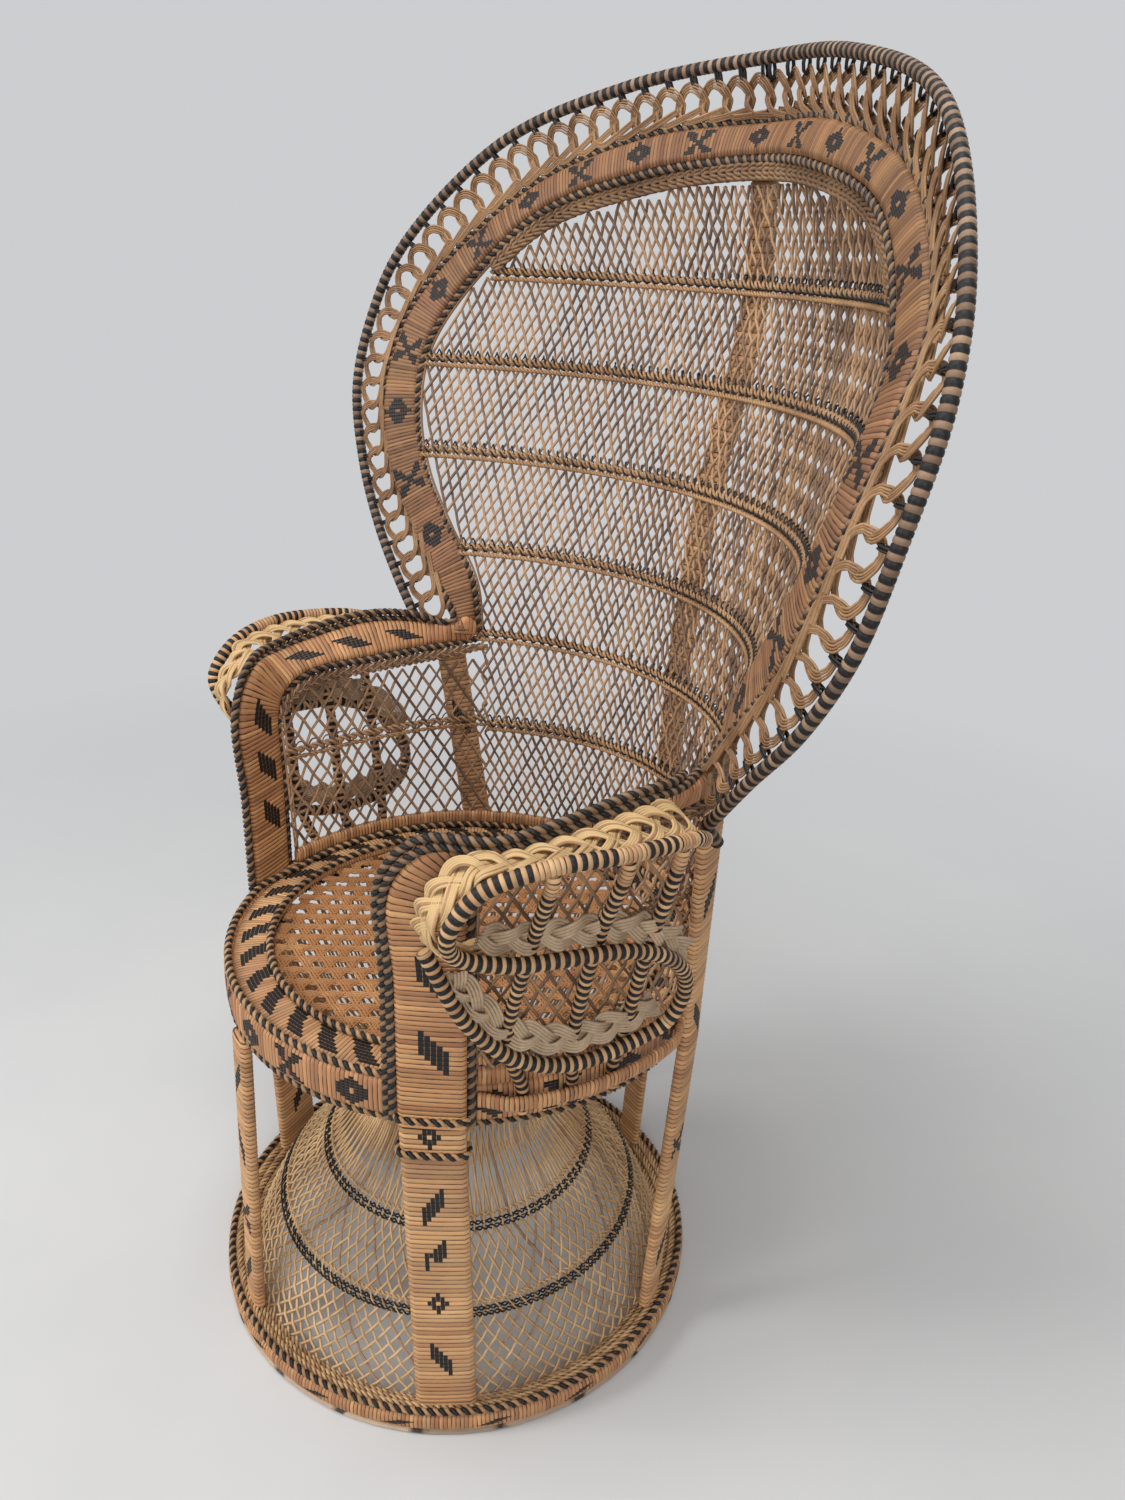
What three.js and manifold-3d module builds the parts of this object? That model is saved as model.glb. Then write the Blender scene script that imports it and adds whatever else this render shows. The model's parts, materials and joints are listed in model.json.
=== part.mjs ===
// A rattan peacock chair, in millimetres: +Z up, and the sitter faces -Y.
// A round base carries six legs and an hourglass skirt of crossed canes; on them stand a round
// woven seat, two arms with scrolls, and a fan-shaped back inside a hoop with a chain of rings.
import * as THREE from "three";
import { mergeVertices } from "three/addons/utils/BufferGeometryUtils.js";
import Module from "manifold-3d";

const wasm = await Module();
wasm.setup();

// Driving dimensions
const hoopTop = 1379; // centre line of the hoop's crown above the floor
const hoopHalfWidth = 483; // centre line of the hoop at its widest
const crownDepth = 352; // crown of the back's outer braid behind the base's centre
const armHeight = 748; // outer braid of the arms above the floor
const seatHeight = 462; // top of the seat's rim
const seatRadius = 277; // outer face of the seat's apron
const seatSetBack = 12; // seat's centre behind the base's centre
const baseRadius = 295; // outer face of the base ring
const clearance = 0.3; // between pieces that touch

// Poles, braids and canes
const poleRadius = 7;
const braidRadius = 4.5;
const caneRadius = 1.5;
const backCanePitch = 76;
const armCanePitch = 60;
const caneSlope = 0.5; // sideways run of a cane for each unit of its rise
const poleSides = 6;
const braidSides = 4;
const caneSides = 3;

// Steps along the long curves
const roundSteps = 24;
const backSteps = 32;
const armSteps = 12;

const fullTurn = 2 * Math.PI;
const quarterTurn = fullTurn / 4;
const legTurn = fullTurn / 6;
const leastSine = 0.4;
const backRise = hoopTop - armHeight;
const hoopOverhang = hoopHalfWidth - seatRadius; // how far the hoop spreads past the seat

const finishes = {
  wrap: new THREE.MeshStandardMaterial({ color: 0xb5804f, roughness: 0.55, metalness: 0 }),
  cane: new THREE.MeshStandardMaterial({ color: 0xa9855c, roughness: 0.6, metalness: 0 }),
  braid: new THREE.MeshStandardMaterial({ color: 0x6b5444, roughness: 0.6, metalness: 0 }),
  stripe: new THREE.MeshStandardMaterial({ color: 0x77604a, roughness: 0.5, metalness: 0 }),
  dark: new THREE.MeshStandardMaterial({ color: 0x2c2622, roughness: 0.6, metalness: 0 }),
  pale: new THREE.MeshStandardMaterial({ color: 0xc9a876, roughness: 0.6, metalness: 0 }),
  seat: new THREE.MeshStandardMaterial({ color: 0x9c6a3c, roughness: 0.6, metalness: 0 }),
};

const chair = new THREE.Group();

function add(name, geometry, material) {
  const mesh = new THREE.Mesh(geometry, material);
  mesh.name = name;
  chair.add(mesh);
}

// A closed geometry whose faces point out, from a list of points and of corners
function closedGeometry(points, corners) {
  const geometry = new THREE.BufferGeometry().setFromPoints(points);
  let sixfoldVolume = 0;
  for (let i = 0; i < corners.length; i += 3) {
    const [a, b, c] = [points[corners[i]], points[corners[i + 1]], points[corners[i + 2]]];
    sixfoldVolume += a.dot(b.clone().cross(c));
  }
  geometry.setIndex(sixfoldVolume < 0 ? corners.slice().reverse() : corners);
  return geometry;
}

// A skin over sections that have the same number of points, closed end to end or with two caps
function loft(sections, closed = false) {
  const count = sections[0].length;
  const rings = sections.length;
  const corners = [];
  for (let i = 0; i < (closed ? rings : rings - 1); i += 1) {
    const a = i * count;
    const b = ((i + 1) % rings) * count;
    for (let j = 0; j < count; j += 1) {
      const k = (j + 1) % count;
      corners.push(a + j, a + k, b + k, a + j, b + k, b + j);
    }
  }
  const end = (rings - 1) * count;
  for (let j = 1; !closed && j < count - 1; j += 1) {
    corners.push(0, j + 1, j, end, end + j, end + j + 1);
  }
  return closedGeometry(sections.flat(), corners);
}

// The direction of a line of points at point i
function directionAt(points, i, closed = false) {
  const n = points.length;
  const before = closed ? points[(i + n - 1) % n] : points[Math.max(i - 1, 0)];
  const after = closed ? points[(i + 1) % n] : points[Math.min(i + 1, n - 1)];
  return after.clone().sub(before).normalize();
}

// The sections of a round stick through a line of points, with one outward direction at each
function stickSections(points, outward, radius, sides, closed = false) {
  return points.map((point, i) => {
    const along = directionAt(points, i, closed);
    const side = along.clone().cross(outward[i]).normalize();
    const out = side.clone().cross(along).normalize();
    return Array.from({ length: sides }, (_, j) => {
      const turn = (j / sides) * fullTurn;
      return point
        .clone()
        .addScaledVector(out, radius * Math.cos(turn))
        .addScaledVector(side, radius * Math.sin(turn));
    });
  });
}

function stick(points, outward, radius, sides, closed = false) {
  return loft(stickSections(points, outward, radius, sides, closed), closed);
}

// How far to go along a direction to stand a distance away from the line of points at point i
function squareInset(points, i, across, distance) {
  return distance / Math.max(directionAt(points, i).cross(across).length(), leastSine);
}

// The sections of a flat board between two lines of edge points, set in from each of them
function board(edgesA, edgesB, inset, thickness) {
  const middles = edgesA.map((a, i) => a.clone().lerp(edgesB[i], 0.5));
  return edgesA.map((a, i) => {
    const b = edgesB[i];
    const across = b.clone().sub(a).normalize();
    const face = directionAt(middles, i).cross(across).normalize();
    const first = a.clone().addScaledVector(across, squareInset(edgesA, i, across, inset));
    const last = b.clone().addScaledVector(across, -squareInset(edgesB, i, across, inset));
    return slab(first, last, face, thickness);
  });
}

// The four corners of a section between two points, with its thickness along a direction
function slab(first, last, face, thickness) {
  return [
    first.clone().addScaledVector(face, thickness / 2),
    last.clone().addScaledVector(face, thickness / 2),
    last.clone().addScaledVector(face, -thickness / 2),
    first.clone().addScaledVector(face, -thickness / 2),
  ];
}

// Moves the end section of a loft along it by a small gap, so that the next piece has room
function pullBack(sections, atEnd, gap) {
  const end = atEnd ? sections.length - 1 : 0;
  const next = atEnd ? end - 1 : 1;
  sections[end] = sections[end].map((point, j) => {
    const share = gap / point.distanceTo(sections[next][j]);
    return point.clone().lerp(sections[next][j], share);
  });
  return sections;
}

// A ring round the Z axis from a closed profile of [radius, height] pairs
function ring(profile, centreY) {
  const loop = [...profile, profile[0]].map(([r, z]) => new THREE.Vector2(r, z));
  const turned = new THREE.LatheGeometry(loop, roundSteps).rotateX(quarterTurn);
  turned.translate(0, centreY, 0);
  const merged = withoutSeams(turned);
  return outwardFacing(merged);
}

// The radius of a ring's flats at a turn from the front
function flatRadius(radius, turn) {
  const half = fullTurn / 2 / roundSteps;
  return (radius * Math.cos(half)) / Math.cos((turn % (2 * half)) - half);
}

function withoutSeams(geometry) {
  const bare = geometry.clone();
  bare.deleteAttribute("normal");
  bare.deleteAttribute("uv");
  return mergeVertices(bare);
}

function outwardFacing(geometry) {
  const position = geometry.getAttribute("position");
  const points = Array.from({ length: position.count }, (_, i) =>
    new THREE.Vector3().fromBufferAttribute(position, i),
  );
  return closedGeometry(points, Array.from(geometry.getIndex().array));
}

// A square-sectioned profile for a ring, by its radii and heights
function block(inner, outer, low, high) {
  return [
    [inner, low],
    [outer, low],
    [outer, high],
    [inner, high],
  ];
}

// A round profile for a ring, with its first corner at a turn from the radial direction
function disc(radius, height, size, sides, start = 0) {
  return Array.from({ length: sides }, (_, j) => {
    const turn = start + (j / sides) * fullTurn;
    return [radius + size * Math.cos(turn), height + size * Math.sin(turn)];
  });
}

// One solid out of several geometries that cross each other
function joined(geometries) {
  const solids = geometries.map((geometry) => {
    const merged = withoutSeams(geometry);
    const vertProperties = new Float32Array(merged.getAttribute("position").array);
    const triVerts = new Uint32Array(merged.getIndex().array);
    return new wasm.Manifold(new wasm.Mesh({ numProp: 3, vertProperties, triVerts }));
  });
  const mesh = solids.reduce((whole, piece) => whole.add(piece)).getMesh();
  const positions = new THREE.BufferAttribute(new Float32Array(mesh.vertProperties), mesh.numProp);
  return new THREE.BufferGeometry()
    .setAttribute("position", positions)
    .setIndex(Array.from(mesh.triVerts));
}

// Adds a piece of the right side and its mirror image on the left, from the right one's corners
function addPair(title, geometry, material, ending = "") {
  add(`${title}_right${ending}`, geometry, material);
  const position = geometry.getAttribute("position");
  const points = Array.from({ length: position.count }, (_, i) =>
    new THREE.Vector3().fromBufferAttribute(position, i),
  );
  const image = closedGeometry(mirrored(points), Array.from(geometry.getIndex().array));
  add(`${title}_left${ending}`, image, material);
}

function mirrored(points) {
  return points.map((point) => new THREE.Vector3(-point.x, point.y, point.z));
}

// A half outline given from its foot to the crown, made whole from the left foot to the right
function wholeOutline(half) {
  return [...mirrored(half), ...half.slice(0, -1).reverse()];
}

// A place on a circle round the seat's centre, by its turn from the front towards +X
function seatPlace(radius, turn, z) {
  return new THREE.Vector3(radius * Math.sin(turn), seatSetBack - radius * Math.cos(turn), z);
}

// The level direction from the seat's axis to a point
function seatOutward(point) {
  return new THREE.Vector3(point.x, point.y - seatSetBack, 0).normalize();
}

function basePlace(radius, turn, z) {
  return new THREE.Vector3(radius * Math.sin(turn), -radius * Math.cos(turn), z);
}

// Outlines of the back, from above the arm joint to the crown: shares of the hoop's half width, of
// the crown's depth and of the back's rise above the arms
const innerBraidShares = [
  [0.54, 0.435, 0.08],
  [0.625, 0.39, 0.18],
  [0.71, 0.36, 0.28],
  [0.77, 0.365, 0.39],
  [0.795, 0.415, 0.505],
  [0.765, 0.515, 0.61],
  [0.58, 0.69, 0.765],
  [0.3, 0.84, 0.835],
  [0, 0.95, 0.857],
];
const outerBraidShares = [
  [0.64, 0.33, 0.105],
  [0.745, 0.305, 0.205],
  [0.825, 0.285, 0.315],
  [0.875, 0.305, 0.435],
  [0.885, 0.385, 0.555],
  [0.845, 0.5, 0.66],
  [0.625, 0.715, 0.82],
  [0.31, 0.88, 0.9],
  [0, 1, 0.915],
];
const hoopShares = [
  [0.75, 0.26, 0.065],
  [0.865, 0.25, 0.17],
  [0.955, 0.25, 0.295],
  [1, 0.265, 0.435],
  [1, 0.335, 0.575],
  [0.94, 0.425, 0.705],
  [0.705, 0.645, 0.89],
  [0.36, 0.84, 0.975],
  [0, 0.965, 1],
];

function backOutline(shares) {
  return shares.map(
    ([x, y, z]) =>
      new THREE.Vector3(x * hoopHalfWidth, y * crownDepth, armHeight + z * backRise),
  );
}

// Places beside the seat, also of the outlines' feet: shares of the hoop's overhang past the seat,
// of the crown's depth and of the arm's height
function armPlaces(shares) {
  return shares.map(
    ([x, y, z]) => new THREE.Vector3(seatRadius + x * hoopOverhang, y * crownDepth, z * armHeight),
  );
}

const innerFootShares = [[-0.102, 0.455, 0.9663]];
const outerFootShares = [[-0.1137, 0.365, 1]];
const hoopFootShares = [
  [0.0879, 0.35, 0.9224],
  [0.102, 0.295, 0.9536],
];
const innerHalf = [...armPlaces(innerFootShares), ...backOutline(innerBraidShares)];
const outerHalf = [...armPlaces(outerFootShares), ...backOutline(outerBraidShares)];
const hoopHalf = [...armPlaces(hoopFootShares), ...backOutline(hoopShares)];

// Points at equal steps of the outline's own count, so that the three outlines stay abreast
function abreast(points, steps) {
  const curve = new THREE.CatmullRomCurve3(points);
  return Array.from({ length: steps + 1 }, (_, i) => curve.getPoint(i / steps));
}

// Base ring: a pale strip on the floor, a wrapped band and a braid on its top edge
const floorStripHeight = 6;
const floorStripWidth = 9;
const baseBandHeight = 21;
const baseBandWidth = 18;
const baseBandLow = floorStripHeight + clearance;
const baseBandTop = baseBandLow + baseBandHeight;
const baseBraidCentre = baseRadius - braidRadius - clearance;
const legInset = 3; // so that the wide posts stand clear of the base braid
const legCircle = baseRadius - baseBandWidth - legInset;
add(
  "floor_strip",
  ring(block(baseRadius - floorStripWidth, baseRadius, 0, floorStripHeight), 0),
  finishes.pale,
);
add(
  "base_band",
  ring(block(baseRadius - baseBandWidth, baseRadius, baseBandLow, baseBandTop), 0),
  finishes.wrap,
);
add(
  "base_braid",
  ring(disc(baseBraidCentre, baseBandTop + braidRadius + clearance, braidRadius, braidSides), 0),
  finishes.braid,
);

// Hourglass skirt: [radius, height] up its wall, from inside the base ring to inside the apron
const skirtRailSize = 8;
const skirtFootRadius = legCircle - skirtRailSize;
const apronHeight = 41;
const apronThickness = 10;
const seatBandThickness = 8;
const waistRadius = 105;
const waistHeight = 262;
const skirtTopRadius = 205;
const skirtTopHeight = seatHeight - seatBandThickness - skirtRailSize;
const lowerTwineRadius = 223;
const lowerTwineHeight = 99;
const upperTwineRadius = 166;
const upperTwineHeight = 168;
const flareRadius = 150;
const flareHeight = 335;
const skirtWall = [
  [skirtFootRadius, skirtRailSize],
  [lowerTwineRadius, lowerTwineHeight],
  [upperTwineRadius, upperTwineHeight],
  [waistRadius, waistHeight],
  [flareRadius, flareHeight],
  [skirtTopRadius, skirtTopHeight],
];
const skirtCanes = 12;
const skirtCaneTurn = fullTurn / 12; // how far a cane turns round the skirt on each stretch
const twineRadius = 4;
const layerOffset = caneRadius + clearance / 2;

// The direction square to the skirt's wall at stretch i, as [radial, upward] parts
function skirtOutward(i) {
  const [r0, z0] = skirtWall[Math.max(i - 1, 0)];
  const [r1, z1] = skirtWall[Math.min(i + 1, skirtWall.length - 1)];
  const length = Math.hypot(r1 - r0, z1 - z0);
  return [(z1 - z0) / length, (r0 - r1) / length];
}

function skirtCane(start, way) {
  const points = [];
  const outward = [];
  skirtWall.forEach(([radius, height], i) => {
    const turn = start + way * i * skirtCaneTurn;
    const [radial, upward] = skirtOutward(i);
    const place = radius + way * layerOffset * radial;
    points.push(basePlace(place, turn, height + way * layerOffset * upward));
    outward.push(basePlace(radial, turn, upward));
  });
  return stick(points, outward, caneRadius, caneSides);
}

const skirtParts = [];
for (const [radius, height] of [skirtWall[0], skirtWall[skirtWall.length - 1]]) {
  skirtParts.push(ring(disc(radius, height, skirtRailSize / 2, braidSides), 0));
}
for (let i = 0; i < skirtCanes; i += 1) {
  const start = (i / skirtCanes) * fullTurn;
  skirtParts.push(skirtCane(start, 1), skirtCane(start, -1));
}
add("skirt_lattice", joined(skirtParts), finishes.cane);

// A dark twined row lies on the outer side of the skirt's canes, at stretch i
function skirtTwine(i) {
  const [radial, upward] = skirtOutward(i);
  const reach = layerOffset + caneRadius + clearance + twineRadius;
  const [radius, height] = skirtWall[i];
  const start = Math.atan2(upward, radial);
  return ring(disc(radius + radial * reach, height + upward * reach, twineRadius, braidSides, start), 0);
}

add("skirt_twine_lower", skirtTwine(1), finishes.dark);
add("skirt_twine_upper", skirtTwine(2), finishes.dark);

// Seat: wrapped apron and flat band, a braid under the apron and a woven panel inside
const seatBandWidth = 30;
const apronLow = seatHeight - apronHeight;
const apronInner = seatRadius - apronThickness;
const bandOuter = apronInner - clearance;
const bandInner = bandOuter - seatBandWidth;
const panelRimWidth = 11;
const panelRimThickness = 10;
const panelOuter = bandInner - clearance;
const panelInner = panelOuter - panelRimWidth;
const panelTop = seatHeight - seatBandThickness / 2;
const apronBraidCentre = seatRadius - apronThickness / 2;
add("seat_apron", ring(block(apronInner, seatRadius, apronLow, seatHeight), seatSetBack), finishes.wrap);
add(
  "seat_band",
  ring(block(bandInner, bandOuter, seatHeight - seatBandThickness, seatHeight), seatSetBack),
  finishes.wrap,
);
add(
  "apron_braid",
  ring(disc(apronBraidCentre, apronLow - braidRadius - clearance, braidRadius, braidSides), seatSetBack),
  finishes.braid,
);
add(
  "seat_inner_braid",
  ring(disc(bandInner, seatHeight + braidRadius + clearance, braidRadius, braidSides), seatSetBack),
  finishes.braid,
);

// Woven panel: three layers of cane strips that cross at a sixth of a turn, in a round rim
const stripWidth = 5;
const stripThickness = 1.8;
const stripPitch = 52;
const stripLayers = 3;
const stripTop = panelTop - stripThickness;
const panelParts = [
  ring(block(panelInner, panelOuter, panelTop - panelRimThickness, panelTop), seatSetBack),
];
const stripReach = panelInner + panelRimWidth / 2;
for (let layer = 0; layer < stripLayers; layer += 1) {
  const strips = Math.floor((2 * panelInner) / stripPitch);
  const high = stripTop - layer * (stripThickness + clearance);
  for (let i = 0; i < strips; i += 1) {
    const aside = (i - (strips - 1) / 2) * stripPitch;
    const length = 2 * Math.sqrt(stripReach ** 2 - aside ** 2);
    const strip = new THREE.BoxGeometry(length, stripWidth, stripThickness);
    strip.translate(0, aside, high - stripThickness / 2);
    strip.rotateZ((layer / stripLayers) * (fullTurn / 2));
    strip.translate(0, seatSetBack, 0);
    panelParts.push(strip);
  }
}
add("seat_panel", joined(panelParts), finishes.seat);

// Bands of the arms: braid lines from below the seat, up the post, round the corner and back
const postWidth = 62;
const bandThickness = 12;
const bandGap = 2.3; // between the band's edge and its braid, where the edge bends
const bandInset = braidRadius + bandGap;
const postCircle = seatRadius + clearance + bandThickness / 2;
const postTurn = fullTurn * 0.1545;
const armBandLow = apronLow + clearance;
const cornerDrop = 30; // from the arm's top to where its corner begins, on the outer braid
const armDepth = 38; // the inner braid's drop below the outer one
const outerCornerShare = 0.35; // of the way from the post's corner to the arm's first place
const innerCornerShare = 0.25;

function postEdge(side, z, circle = postCircle) {
  const middle = seatPlace(circle, postTurn, z);
  const along = new THREE.Vector3(Math.cos(postTurn), Math.sin(postTurn), 0);
  return middle.addScaledVector(along, side * (postWidth / 2 + bandInset));
}

const armSplay = 8; // how far the post's front edge leans out towards the top
const armOuterShares = [
  [0.027, -0.3, 0.985],
  [0.0926, 0.04, 1.01],
  [0.027, 0.235, 1.005],
];
const armInnerShares = [
  [-0.109, -0.21, 0.953],
  [-0.0762, 0.04, 0.957],
  [-0.0668, 0.26, 0.96],
];

const cornerRise = 5; // how far the rounded corner lies above the straight way to the arm

function cornerPlace(corner, shares, share) {
  const place = corner.clone().lerp(armPlaces(shares)[0], share);
  return place.setZ(place.z + cornerRise);
}

const postMid = (armBandLow + armHeight) / 2;
const outerCorner = postEdge(-1, armHeight - cornerDrop, postCircle + armSplay);
const innerCorner = postEdge(1, armHeight - armDepth - cornerDrop);
const armOuterLine = [
  postEdge(-1, armBandLow),
  postEdge(-1, postMid),
  postEdge(-1, outerCorner.z - cornerDrop, postCircle + armSplay / 2),
  cornerPlace(outerCorner, armOuterShares, outerCornerShare),
  ...armPlaces(armOuterShares),
  outerHalf[0],
];
const armInnerLine = [
  postEdge(1, armBandLow),
  postEdge(1, postMid),
  postEdge(1, innerCorner.z - cornerDrop / 2),
  cornerPlace(innerCorner, armInnerShares, innerCornerShare),
  ...armPlaces(armInnerShares),
  innerHalf[0],
];

const armOuterPoints = abreast(armOuterLine, armSteps);
const armInnerPoints = abreast(armInnerLine, armSteps);
const backOuterPoints = abreast(wholeOutline(outerHalf), backSteps);
const backInnerPoints = abreast(wholeOutline(innerHalf), backSteps);

// The whole band from the left post over the crown to the right post, cut at the arm joints
const wholeInner = [
  ...mirrored(armInnerPoints).slice(0, -1),
  ...backInnerPoints,
  ...armInnerPoints.slice(0, -1).reverse(),
];
const wholeOuter = [
  ...mirrored(armOuterPoints).slice(0, -1),
  ...backOuterPoints,
  ...armOuterPoints.slice(0, -1).reverse(),
];
const bandSections = board(wholeInner, wholeOuter, bandInset, bandThickness);
const firstJoint = armSteps;
const lastJoint = armSteps + backSteps;
addPair("arm_band", loft(pullBack(bandSections.slice(lastJoint), false, clearance)), finishes.wrap);
add("back_band", loft(bandSections.slice(firstJoint, lastJoint + 1)), finishes.wrap);

// Braids along both edges of the whole band
function edgeBraid(points, others) {
  const outward = points.map((point, i) => point.clone().sub(others[i]).normalize());
  return stick(points, outward, braidRadius, braidSides);
}

add("inner_braid", edgeBraid(wholeInner, wholeOuter), finishes.braid);
add("outer_braid", edgeBraid(wholeOuter, wholeInner), finishes.braid);

// Legs: wide arm posts below the apron, slim front leg and rear posts, and the back's long slat
const slimWidth = 34;
const slimThickness = 12;
const slatWidth = 36;
const slatThickness = 8;
const footHeight = baseBandTop + clearance;

// A leg's section at a place, turned to face outwards from the middle
function legSection(place, turn, width, thickness) {
  const along = new THREE.Vector3(Math.cos(turn), Math.sin(turn), 0).multiplyScalar(width / 2);
  const out = new THREE.Vector3(Math.sin(turn), -Math.cos(turn), 0);
  return slab(place.clone().sub(along), place.clone().add(along), out, thickness);
}

const legTop = apronLow - 2 * braidRadius - 2 * clearance;
add(
  "front_leg",
  loft([
    legSection(basePlace(legCircle, 0, footHeight), 0, slimWidth, slimThickness),
    legSection(basePlace(legCircle - slimThickness, 0, legTop), 0, slimWidth, slimThickness),
  ]),
  finishes.wrap,
);

const rearTurn = 2 * legTurn;
addPair(
  "arm_post",
  loft([
    legSection(basePlace(legCircle, legTurn, footHeight), legTurn, postWidth, bandThickness),
    legSection(seatPlace(postCircle, postTurn, armBandLow - clearance), postTurn, postWidth, bandThickness),
  ]),
  finishes.wrap,
);
// Wall of the back: an arc at each height, through the centre line and the inner braid
const wallInset = 9; // of the wall's foot, inside the apron's outer face
const wallRadius = seatRadius - wallInset;
const jointTurn = fullTurn * 0.339; // where the arm's wall and the back's wall meet
const footRailHeight = 18;
const footRailThickness = 8;
const footRailLow = seatHeight + clearance;
const footRailMiddle = footRailLow + footRailHeight / 2;
const armRowHeightShare = 0.5303; // of the way from the seat to the arm
const rowRiseShares = [-0.0272, 0.1477, 0.3291, 0.5017, 0.6678]; // of the back's rise above the arms
const rowDepthShares = [0.787, 0.795, 0.818, 0.861, 0.932, 0.98];
const rowHeights = [
  seatHeight + armRowHeightShare * (armHeight - seatHeight),
  ...rowRiseShares.map((share) => armHeight + share * backRise),
];
const crownPoint = innerHalf[innerHalf.length - 1];
const centreLine = [
  [footRailLow, seatSetBack + wallRadius],
  ...rowHeights.map((height, i) => [height, rowDepthShares[i] * crownDepth]),
  [crownPoint.z, crownPoint.y],
];
const rightInner = backInnerPoints.slice(backSteps / 2).reverse();
const edgeLine = [
  seatPlace(wallRadius, jointTurn, footRailLow),
  seatPlace(wallRadius, jointTurn, rowHeights[0]),
  ...rightInner,
];

// The value between two rows of a table of [position, value] pairs
function between(table, position) {
  let i = 1;
  while (i < table.length - 1 && table[i][0] < position) {
    i += 1;
  }
  const [from, a] = table[i - 1];
  const [to, b] = table[i];
  return a + ((b - a) * (position - from)) / (to - from);
}

const edgeAcross = edgeLine.map((point) => [point.z, point.x]);
const edgeDepth = edgeLine.map((point) => [point.z, point.y]);

// The arc of the wall at a height: its radius, its centre and half its length
function wallArc(z) {
  const middle = between(centreLine, z);
  const x = between(edgeAcross, z);
  const sagitta = middle - between(edgeDepth, z);
  const radius = (x * x + sagitta * sagitta) / (2 * sagitta);
  return { radius, centreY: middle - radius, halfLength: radius * Math.atan2(x, radius - sagitta) };
}

// The place on the back's wall at a length along its arc, pushed back from it by a depth
function backWall(s, z, depth = 0) {
  const { radius, centreY } = wallArc(z);
  const turn = s / radius;
  const out = new THREE.Vector3(Math.sin(turn), Math.cos(turn), 0);
  return new THREE.Vector3(0, centreY, z).addScaledVector(out, radius + depth);
}

// A line of [length, height] pairs moved inwards, to the left of its direction, on the flat
function movedIn(line, distance) {
  return line.map((_, i) => {
    const [s0, z0] = line[Math.max(i - 1, 0)];
    const [s1, z1] = line[Math.min(i + 1, line.length - 1)];
    const length = Math.hypot(s1 - s0, z1 - z0);
    const [s, z] = line[i];
    return [s - (distance * (z1 - z0)) / length, z + (distance * (s1 - s0)) / length];
  });
}

const borderWidth = 16;
const borderThickness = 7;
const borderGap = braidRadius + clearance;
const flatEdge = edgeLine
  .slice(0, -1)
  .map((point) => [wallArc(point.z).halfLength, point.z])
  .concat([[0, crownPoint.z]]);

// The right half of a line at a distance inside the wall's edge, from its foot to the crown
function insideEdge(distance) {
  const line = movedIn(flatEdge, distance);
  line[line.length - 1] = [0, crownPoint.z - distance];
  return line;
}

// A slab on a wall between two lines of [length, height] pairs
function wallStrip(wall, lineA, lineB, thickness) {
  return loft(
    lineA.map(([s, z], i) => {
      const [s1, z1] = lineB[i];
      return [
        wall(s, z, -thickness / 2),
        wall(s1, z1, -thickness / 2),
        wall(s1, z1, thickness / 2),
        wall(s, z, thickness / 2),
      ];
    }),
  );
}

function wholeLine(half) {
  return [...half.map(([s, z]) => [-s, z]), ...half.slice(0, -1).reverse()];
}

// Canes of one way across a wall: the pieces of each sloping line that lie inside the wall
const wallSamples = 120;
const shortestCane = 30;

function wallCanes({ wall, inside, reach, low, high, breaks, pitch, way }) {
  const pieces = [];
  const lines = Math.ceil((reach + (caneSlope * (high - low)) / 2) / pitch);
  for (let k = -lines; k <= lines; k += 1) {
    const at = (z) => way * (k * pitch + caneSlope * (z - (low + high) / 2));
    let start = null;
    for (let i = 0; i <= wallSamples; i += 1) {
      const z = low + ((high - low) * i) / wallSamples;
      const within = inside(at(z), z);
      if (within && start === null) {
        start = z;
      }
      if (start !== null && (!within || i === wallSamples)) {
        pieces.push({ start, end: z, at });
        start = null;
      }
    }
  }
  return pieces
    .filter(({ start, end }) => end - start > shortestCane)
    .map(({ start, end, at }) => {
      const heights = [start, ...breaks.filter((z) => z > start && z < end), end];
      const depth = way * layerOffset;
      const points = heights.map((z) => wall(at(z), z, depth));
      const outward = heights.map((z, i) => wall(at(z), z, depth + caneRadius).sub(points[i]));
      return stick(points, outward, caneRadius, caneSides);
    });
}

const borderMiddle = insideEdge(borderGap + borderWidth / 2);
const borderMiddleLimits = borderMiddle.map(([s, z]) => [z, s]);
const footHalfLength = wallArc(footRailMiddle).halfLength - borderGap;
const backCanes = [1, -1].flatMap((way) =>
  wallCanes({
    wall: backWall,
    inside: (s, z) => Math.abs(s) <= between(borderMiddleLimits, z),
    reach: Math.max(...borderMiddle.map(([s]) => s)),
    low: footRailMiddle,
    high: crownPoint.z - borderGap - borderWidth / 2,
    breaks: rowHeights,
    pitch: backCanePitch,
    way,
  }),
);
const footSteps = 14;
const footLine = Array.from({ length: footSteps + 1 }, (_, i) => (2 * i) / footSteps - 1);
add(
  "back_lattice",
  joined([
    wallStrip(
      backWall,
      wholeLine(insideEdge(borderGap)),
      wholeLine(insideEdge(borderGap + borderWidth)),
      borderThickness,
    ),
    wallStrip(
      backWall,
      footLine.map((share) => [share * footHalfLength, footRailLow]),
      footLine.map((share) => [share * footHalfLength, footRailLow + footRailHeight]),
      footRailThickness,
    ),
    ...backCanes,
  ]),
  finishes.cane,
);

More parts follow.
